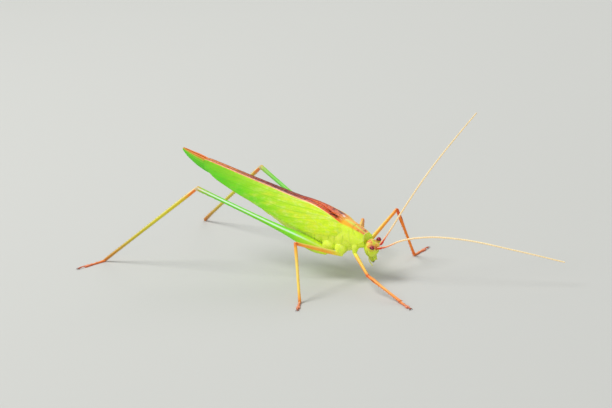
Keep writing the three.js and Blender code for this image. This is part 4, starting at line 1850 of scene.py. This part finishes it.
KINDS = {
    Pair.FORE: LegKind(
        root=(2.3, 0.7, 5.4),
        coxa_radii=(0.7, 0.6, 0.42, 0.29),
        femur_radii=(0.24, 0.26, 0.25, 0.23, 0.21, 0.2, 0.22),
        femur_depth=1.1, femur_rings=130, femur_finish=ORANGE_FEMUR,
        tibia_radii=(0.18, 0.21, 0.245, 0.22, 0.185, 0.175, 0.17, 0.17, 0.17, 0.18, 0.2),
        tibia_rings=150, tibia_finish=ORANGE_TIBIA,
        spines_from=0.35, spine_count=9, spine_faces=(-1,)),
    Pair.MID: LegKind(
        root=(-0.2, 0.85, 5.0),
        coxa_radii=(1.0, 1.0, 0.8, 0.38),
        femur_radii=(0.25, 0.28, 0.265, 0.245, 0.225, 0.21, 0.225),
        femur_depth=1.1, femur_rings=130, femur_finish=LIT_ORANGE_FEMUR,
        tibia_radii=(0.2, 0.23, 0.22, 0.21, 0.2, 0.195, 0.19, 0.19, 0.195, 0.21),
        tibia_rings=150, tibia_finish=AMBER_TIBIA,
        spines_from=0.2, spine_count=10, spine_faces=(-1,)),
    Pair.HIND: LegKind(
        root=(-2.2, 0.85, 5.2),
        coxa_radii=(1.04, 1.08, 0.92, 0.5),
        femur_radii=(0.36, 0.54, 0.6, 0.53, 0.42, 0.345, 0.3, 0.275, 0.26, 0.252, 0.255, 0.27, 0.3),
        femur_depth=1.2, femur_rings=260, femur_finish=GREEN_FEMUR,
        tibia_radii=(0.24, 0.28, 0.27, 0.255, 0.245, 0.235, 0.225, 0.22, 0.22, 0.24),
        tibia_rings=240, tibia_finish=OLIVE_TIBIA,
        spines_from=0.1, spine_count=30, spine_faces=(-1, 1)),
}


def add_spine(surface: Surface, root: Array, lean: Array, length: float, radius: float) -> None:
    """Adds one little spine.

    Args:
        surface: what it is added to.
        root: where it stands.
        lean: the direction that it points in.
        length: its length.
        radius: its radius at the root.
    """
    radii = radius * np.array([1.0, 0.9, 0.7, 0.5, 0.3, 0.06])
    path = root + np.linspace(-0.05, 1, len(radii))[:, None] * length * unit(lean)
    places, _ = tube(path, radii, 6, above=np.array([0.31, 0.2, 0.93]))
    surface.patch(places, along=0.5, top=0.0, dark=0.9 * shares(path))


@dataclass
class Foot:
    """A foot that lies on the floor: four joints, the third with two lobes, and a pair of claws."""

    name: str
    heel: tuple[float, float]
    toe: tuple[float, float]

    def __post_init__(self) -> None:
        """Works out where the foot points, and starts its surface."""
        self.start = np.array([*self.heel, 0.0])
        line = np.array([*self.toe, 0.0]) - self.start
        self.length = float(np.linalg.norm(line))
        self.toward = unit(line)
        self.across = np.cross(self.toward, UP)
        self.surface = Surface()

    def joint(self, first: float, last: float, sizes: Sizes, drift: float = 0.0, lift: float = 0.0,
              width: float = 1.0) -> None:
        """Adds one joint, resting on the floor.

        Args:
            first: where it starts, as a share of the foot's length.
            last: where it ends.
            sizes: its radii, spaced evenly along it.
            drift: how far it swings out to one side.
            lift: how far its middle is held off the floor.
            width: how wide it is for its depth.
        """
        t = np.linspace(0, 1, 30)
        share = first + (last - first) * t
        swing = drift * np.sin(t * math.pi * 0.7)
        path = self.start + self.toward * (share * self.length)[:, None] + self.across * swing[:, None]
        path[:, 2] = np.maximum(evenly(sizes, t) * 0.96, 0.02) + lift * np.sin(t * math.pi)
        places, top = rod(path, sizes, (0.08, 0.08), 24, depth=1 / width)
        places[..., 2] = np.maximum(places[..., 2], 0.0)
        self.surface.patch(places, along=share[:, None], top=top)

    def claw(self, sign: int) -> None:
        """Adds one claw.

        Args:
            sign: which side of the foot it is on.
        """
        stops = [
            self.start + self.toward * self.length * reach + self.across * sign * out + UP * height
            for reach, out, height in ((0.95, 0.05, 0.14), (1.0, 0.14, 0.18), (1.03, 0.24, 0.03))
        ]
        path = route(stops, 24)
        places, _ = rod(path, (0.06, 0.02), (0.05, 0.05), 10)
        places[..., 2] = np.maximum(places[..., 2], 0.0)
        self.surface.patch(places, along=1.0, top=0.0, dark=0.3 + 0.7 * shares(path))

    def build(self) -> None:
        """Makes the foot."""
        self.joint(-0.02, 0.36, (0.19, 0.17, 0.15, 0.18))
        self.joint(0.33, 0.53, (0.13, 0.14, 0.18))
        for sign in (-1, 1):
            self.joint(0.5, 0.75, (0.11, 0.145, 0.12), drift=sign * 0.13, width=0.95)
        self.joint(0.56, 0.98, (0.085, 0.08, 0.09, 0.13), lift=0.16)
        for sign in (-1, 1):
            self.claw(sign)
        self.surface.build(f"foot_{self.name}", RED_FOOT, f"leg_{self.name}_tarsus")


@dataclass
class Leg:
    """One jointed leg from the body to its claws, as the frame's hip, knee, heel and toe give it."""

    pair: Pair
    side: Side
    hip: Triple
    knee: Triple
    heel: tuple[float, float]
    toe: tuple[float, float]
    ankle_height: float = 0.26

    @property
    def name(self) -> str:
        """The leg's name in node names."""
        return f"{self.pair.value}_{self.side.word}"

    @property
    def ankle(self) -> Array:
        """The middle of the heel joint."""
        return np.array([*self.heel, self.ankle_height])

    @property
    def kind(self) -> LegKind:
        """What this leg has in common with its pair."""
        return KINDS[self.pair]

    def build_coxa(self) -> None:
        """Makes the coxa and the small ring between it and the femur."""
        root = np.array(self.kind.root) * [1, self.side.value, 1]
        hip = np.array(self.hip)
        path = route([root, (root + hip) / 2 + [0.0, self.side.value * 0.12, 0.0], hip], 60)
        places, top = rod(path, self.kind.coxa_radii, (0.6, 0.14), 64, square=2.1)
        ridge = 0.03 * hill(top - 0.35, 0.3) - 0.03 * hill(top + 0.15, 0.25)
        places = embossed(places, ridge + 0.012 * cuticle_grain(places, 3.2, 21))
        surface = Surface()
        surface.patch(places, groove=0.6 * hill(shares(path) - 0.93, 0.03))
        toward = unit(np.array(self.knee) - hip)
        path = hip + np.linspace(-0.34, 0.3, 24)[:, None] * toward
        radius = self.kind.femur_radii[0] * 1.12
        places, _ = rod(path, (radius, radius), (0.25, 0.2), 32)
        surface.patch(places, groove=0.6 * hill(shares(path) - 0.9, 0.1), margin=0.2)
        if self.pair is Pair.FORE:
            foot = (root + 2 * hip) / 3 + [0.45, self.side.value * 0.3, 0.1]
            add_spine(surface, foot, np.array([1.0, 0, 0.2]), 0.5, 0.07)
        surface.build(f"coxa_{self.name}", BODY_SHELL, f"leg_{self.name}_coxa")

    def add_knee(self, surface: Surface) -> None:
        """Adds the two lobes that hold the tibia.

        Args:
            surface: what they are added to.
        """
        toward, above, across = axes_along(np.subtract(self.knee, self.hip))
        end = self.kind.femur_radii[-1]
        axes = np.array([toward * end * 1.25, above * end * 0.95, across * end * 0.35])
        middle = np.array(self.knee) - toward * 0.12 - above * end * 0.15
        for sign in (-1, 1):
            lobe = ellipsoid(middle + across * sign * end * 0.68, axes)
            # the knee lobes take part of the painted highlight
            surface.patch(lobe, along=0.985, top=0.2, band=0.4)

    def add_femur_spines(self, surface: Surface) -> None:
        """Adds two rows of small spines under the end of the femur.

        Args:
            surface: what they are added to.
        """
        hip, knee = np.array([self.hip, self.knee])
        toward, above, across = axes_along(knee - hip)
        for share in np.linspace(0.55, 0.95, 9):
            radius = float(evenly(self.kind.femur_radii, np.array(share))) * self.kind.femur_depth
            for sign in (-1, 1):
                root = hip + (knee - hip) * share - above * radius * 0.93 + across * sign * 0.08
                add_spine(surface, root, toward * 0.8 - above, 0.17, 0.03)

    def build_femur(self) -> None:
        """Makes the femur with its keeled section, a painted highlight line along its ridge, knee lobes and
        small spines below.
        """
        hip, knee = np.array([self.hip, self.knee])
        toward, above, _ = axes_along(knee - hip)
        along = np.linspace(0, 1, self.kind.femur_rings)[:, None]
        path = hip + (knee - hip + toward * 0.1) * along
        radii = rounded(evenly(self.kind.femur_radii, along[:, 0]), path, 0.22, 0.24)
        places, top = tube(path, radii, 40, depth=self.kind.femur_depth, square=2.25)
        middle = path[:, None]
        flute = 0.05 * hill(np.abs(top) - 0.55, 0.16) * ramp(along - 0.25, 0.1)
        places = middle + (places - middle) * (1 - flute)[..., None]
        if self.pair is Pair.HIND:
            sag = 0.42 * hill(along - 0.1, 0.11) * np.clip(-top, 0, 1)
            places = places - above * sag[..., None]
        # painted highlight: a pale line along the upper ridge, stronger on the outer flank
        outer = ramp((places - middle) @ np.array([0.0, self.side.value, 0.0]), 0.05)
        half_depth = (radii * self.kind.femur_depth)[:, None]
        line = half_depth * (0.66 - 0.16 * along)
        band = plateau(top * half_depth - line, 0.085) * (0.2 + 0.8 * outer)
        surface = Surface()
        surface.patch(places, along=along, top=top, band=band)
        self.add_knee(surface)
        if self.pair is Pair.HIND:
            self.add_femur_spines(surface)
        surface.build(f"femur_{self.name}", self.kind.femur_finish, f"leg_{self.name}_femur")

    def add_tibia_spines(self, surface: Surface) -> None:
        """Adds the rows of spines along the tibia, and the four spurs at its end.

        Args:
            surface: what they are added to.
        """
        knee, ankle = np.array(self.knee), self.ankle
        toward, above, across = axes_along(ankle - knee)
        for share in np.linspace(self.kind.spines_from, 0.95, self.kind.spine_count):
            radius = float(evenly(self.kind.tibia_radii, np.array(share)))
            for face in self.kind.spine_faces:
                for sign in (-1, 1):
                    foot = (above * face * 0.8 + across * sign * 0.6) * radius * 0.95
                    lean = toward * 1.1 + above * face + across * sign * 0.7
                    add_spine(surface, knee + (ankle - knee) * share + foot, lean, 0.24, 0.035)
        for face in (-1, 1):
            for sign in (-1, 1):
                foot = (above * face * 0.7 + across * sign * 0.7) * 0.17
                lean = toward * 1.6 + above * face * 0.3 + across * sign * 0.6
                add_spine(surface, ankle - toward * 0.12 + foot, lean, 0.36, 0.05)

    def build_tibia(self) -> None:
        """Makes the tibia: a bent neck at the knee, spines, spurs, and ears on the fore legs."""
        knee, ankle = np.array(self.knee), self.ankle
        toward, from_hip = unit(ankle - knee), unit(knee - self.hip)
        neck = [knee - from_hip * 0.12, knee + toward * 0.16, knee + toward * 0.5]
        stops = [*neck, (knee + ankle) / 2, ankle]
        path = route(stops, self.kind.tibia_rings)
        along = shares(path)
        places, top = rod(path, self.kind.tibia_radii, (0.14, 0.16), 32, square=2.5)
        dark = np.zeros(top.shape)
        if self.pair is Pair.FORE:
            dark = 0.95 * hill(along - 0.2, 0.05) * hill(np.abs(top), 0.3)
            middle = path[:, None]
            places = middle + (places - middle) * (1 - 0.16 * dark)[..., None]
        surface = Surface()
        surface.patch(places, along=along, top=top, dark=dark)
        self.add_tibia_spines(surface)
        surface.build(f"tibia_{self.name}", self.kind.tibia_finish, f"leg_{self.name}_tibia")

    def build(self) -> None:
        """Makes the whole leg."""
        self.build_coxa()
        self.build_femur()
        self.build_tibia()
        Foot(self.name, self.heel, self.toe).build()


LEGS = (
    Leg(Pair.FORE, Side.RIGHT, (2.05, -1.15, 4.02), (6.7, -4.0, 2.3), (13.9, -5.9), (16.8, -7.3)),
    Leg(Pair.FORE, Side.LEFT, (2.2, 1.5, 4.6), (3.7, 6.6, 8.0), (2.9, 9.7), (2.55, 13.2)),
    Leg(Pair.MID, Side.RIGHT, (-0.15, -1.6, 3.7), (-2.5, -7.6, 7.0), (0.3, -11.1), (2.2, -13.6)),
    Leg(Pair.MID, Side.LEFT, (-0.9, 1.8, 3.9), (-4.5, 8.1, 5.1), (-9.3, 12.4), (-11.7, 14.0)),
    Leg(Pair.HIND, Side.RIGHT, (-2.3, -1.9, 4.0), (-23.1, -5.2, 12.0), (-41.2, -9.1), (-42.6, -13.4)),
    Leg(Pair.HIND, Side.LEFT, (-2.5, 2.1, 4.2), (-22.1, 6.8, 11.6), (-40.1, 10.6), (-42.3, 14.3)),
)


# ---------- Studio ----------


@dataclass(frozen=True)
class Lamp:
    """A round soft lamp that faces the insect. Its place and size are in metres, its power in watts."""

    name: str
    place: Triple
    size: float
    power: float


@dataclass
class Studio:
    """Floor, soft lights and the camera. ``target`` is in drawing axes. Other lengths are in metres."""

    azimuth: float = math.radians(45.5)
    elevation: float = math.radians(16.8)
    roll: float = math.radians(-8.3)
    distance: float = 0.322
    field_of_view: float = math.radians(15)
    sensor_width: float = 36.0
    target: Triple = (-7.1, 0.0, 9.7)
    lamps: tuple[Lamp, ...] = (
        Lamp("key", (-0.28, -0.12, 0.5), size=0.28, power=2.3),
        Lamp("fill", (0.34, -0.5, 0.14), size=0.4, power=1.35),
        Lamp("back", (-0.1, 0.5, 0.35), size=0.3, power=0.6),
    )
    lamps_aim: Triple = (0.0, 0.0, 0.008)
    sky_colour: Sizes = (0.93, 0.96, 1.0, 1.0)
    sky_strength: float = 0.5
    floor_reach: float = 1.6
    floor_squares: int = 8

    @staticmethod
    def seat(name: str, data: bpy.types.ID, axes: Array, place: Array) -> bpy.types.Object:
        """Puts a thing in the scene.

        Args:
            name: the thing's name.
            data: what the thing is, such as a lamp.
            axes: its own axes, given as columns.
            place: where it stands, in metres.

        Returns:
            The thing.
        """
        thing = bpy.data.objects.new(name, data)
        bpy.context.scene.collection.objects.link(thing)
        matrix = np.eye(4)
        matrix[:3, :3], matrix[:3, 3] = axes, place
        thing.matrix_world = Matrix(matrix.tolist())
        return thing

    def build_camera(self) -> None:
        """Makes the camera."""
        a, e, r = self.azimuth, self.elevation, self.roll
        back = np.array([math.sin(a) * math.cos(e), -math.cos(a) * math.cos(e), math.sin(e)])
        right = np.array([math.cos(a), math.sin(a), 0.0])
        top = np.cross(back, right)
        right, top = right * math.cos(r) + top * math.sin(r), top * math.cos(r) - right * math.sin(r)
        data = bpy.data.cameras.new("camera")
        data.sensor_width = self.sensor_width
        data.lens = self.sensor_width / 2 / math.tan(self.field_of_view / 2)
        data.clip_start, data.clip_end = 0.01, 20.0
        target = (np.array(self.target) - FOOTPRINT_CENTRE) * MILLIMETRE
        axes = np.column_stack([right, top, back])
        bpy.context.scene.camera = self.seat("camera", data, axes, target + back * self.distance)

    def build_lights(self) -> None:
        """Makes the lights: a broad soft key from the upper left, a fill, one behind and an even sky."""
        for lamp in self.lamps:
            data = bpy.data.lights.new(lamp.name, "AREA")
            data.shape, data.size, data.energy = "DISK", lamp.size, lamp.power
            back = unit(np.array(lamp.place) - np.array(self.lamps_aim))
            right = unit(np.cross(UP, back))
            axes = np.column_stack([right, np.cross(back, right), back])
            self.seat(lamp.name, data, axes, np.array(lamp.place))
        world = bpy.data.worlds.new("sky")
        world.use_nodes = True
        sky = world.node_tree.nodes["Background"].inputs
        sky["Color"].default_value = self.sky_colour
        sky["Strength"].default_value = self.sky_strength
        bpy.context.scene.world = world
        bpy.context.scene.view_settings.view_transform = "Standard"

    def build_floor(self) -> None:
        """Makes the floor, a broad flat sheet."""
        squares = self.floor_squares
        lines = np.linspace(-self.floor_reach, self.floor_reach, squares + 1)
        points = [(x, y, 0.0) for y in lines for x in lines]
        corners = [j * (squares + 1) + i for j in range(squares) for i in range(squares)]
        faces = [(n, n + 1, n + squares + 2, n + squares + 1) for n in corners]
        mesh = bpy.data.meshes.new("floor")
        mesh.from_pydata(points, [], faces)
        mesh.materials.append(FloorFinish().material())
        self.seat("floor", mesh, np.eye(3), np.zeros(3))

    def build(self) -> None:
        """Makes the whole studio."""
        self.build_camera()
        self.build_lights()
        self.build_floor()


def main() -> None:
    """Builds the studio, then the insect from its wings to its feet."""
    logging.basicConfig(level=logging.INFO, format="%(name)s %(message)s")
    LOG.info("the frame has %d nodes", len(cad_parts))
    Studio().build()
    wings = ForeWings()
    wings.build()
    HindWings().build()
    Pronotum().build()
    trunk = Trunk()
    trunk.build(wings)
    trunk.build_cerci()
    trunk.build_plate()
    head = Head()
    head.build()
    for antenna in ANTENNAE:
        antenna.build(head)
    for leg in LEGS:
        leg.build()


if __name__ == "__main__":
    main()
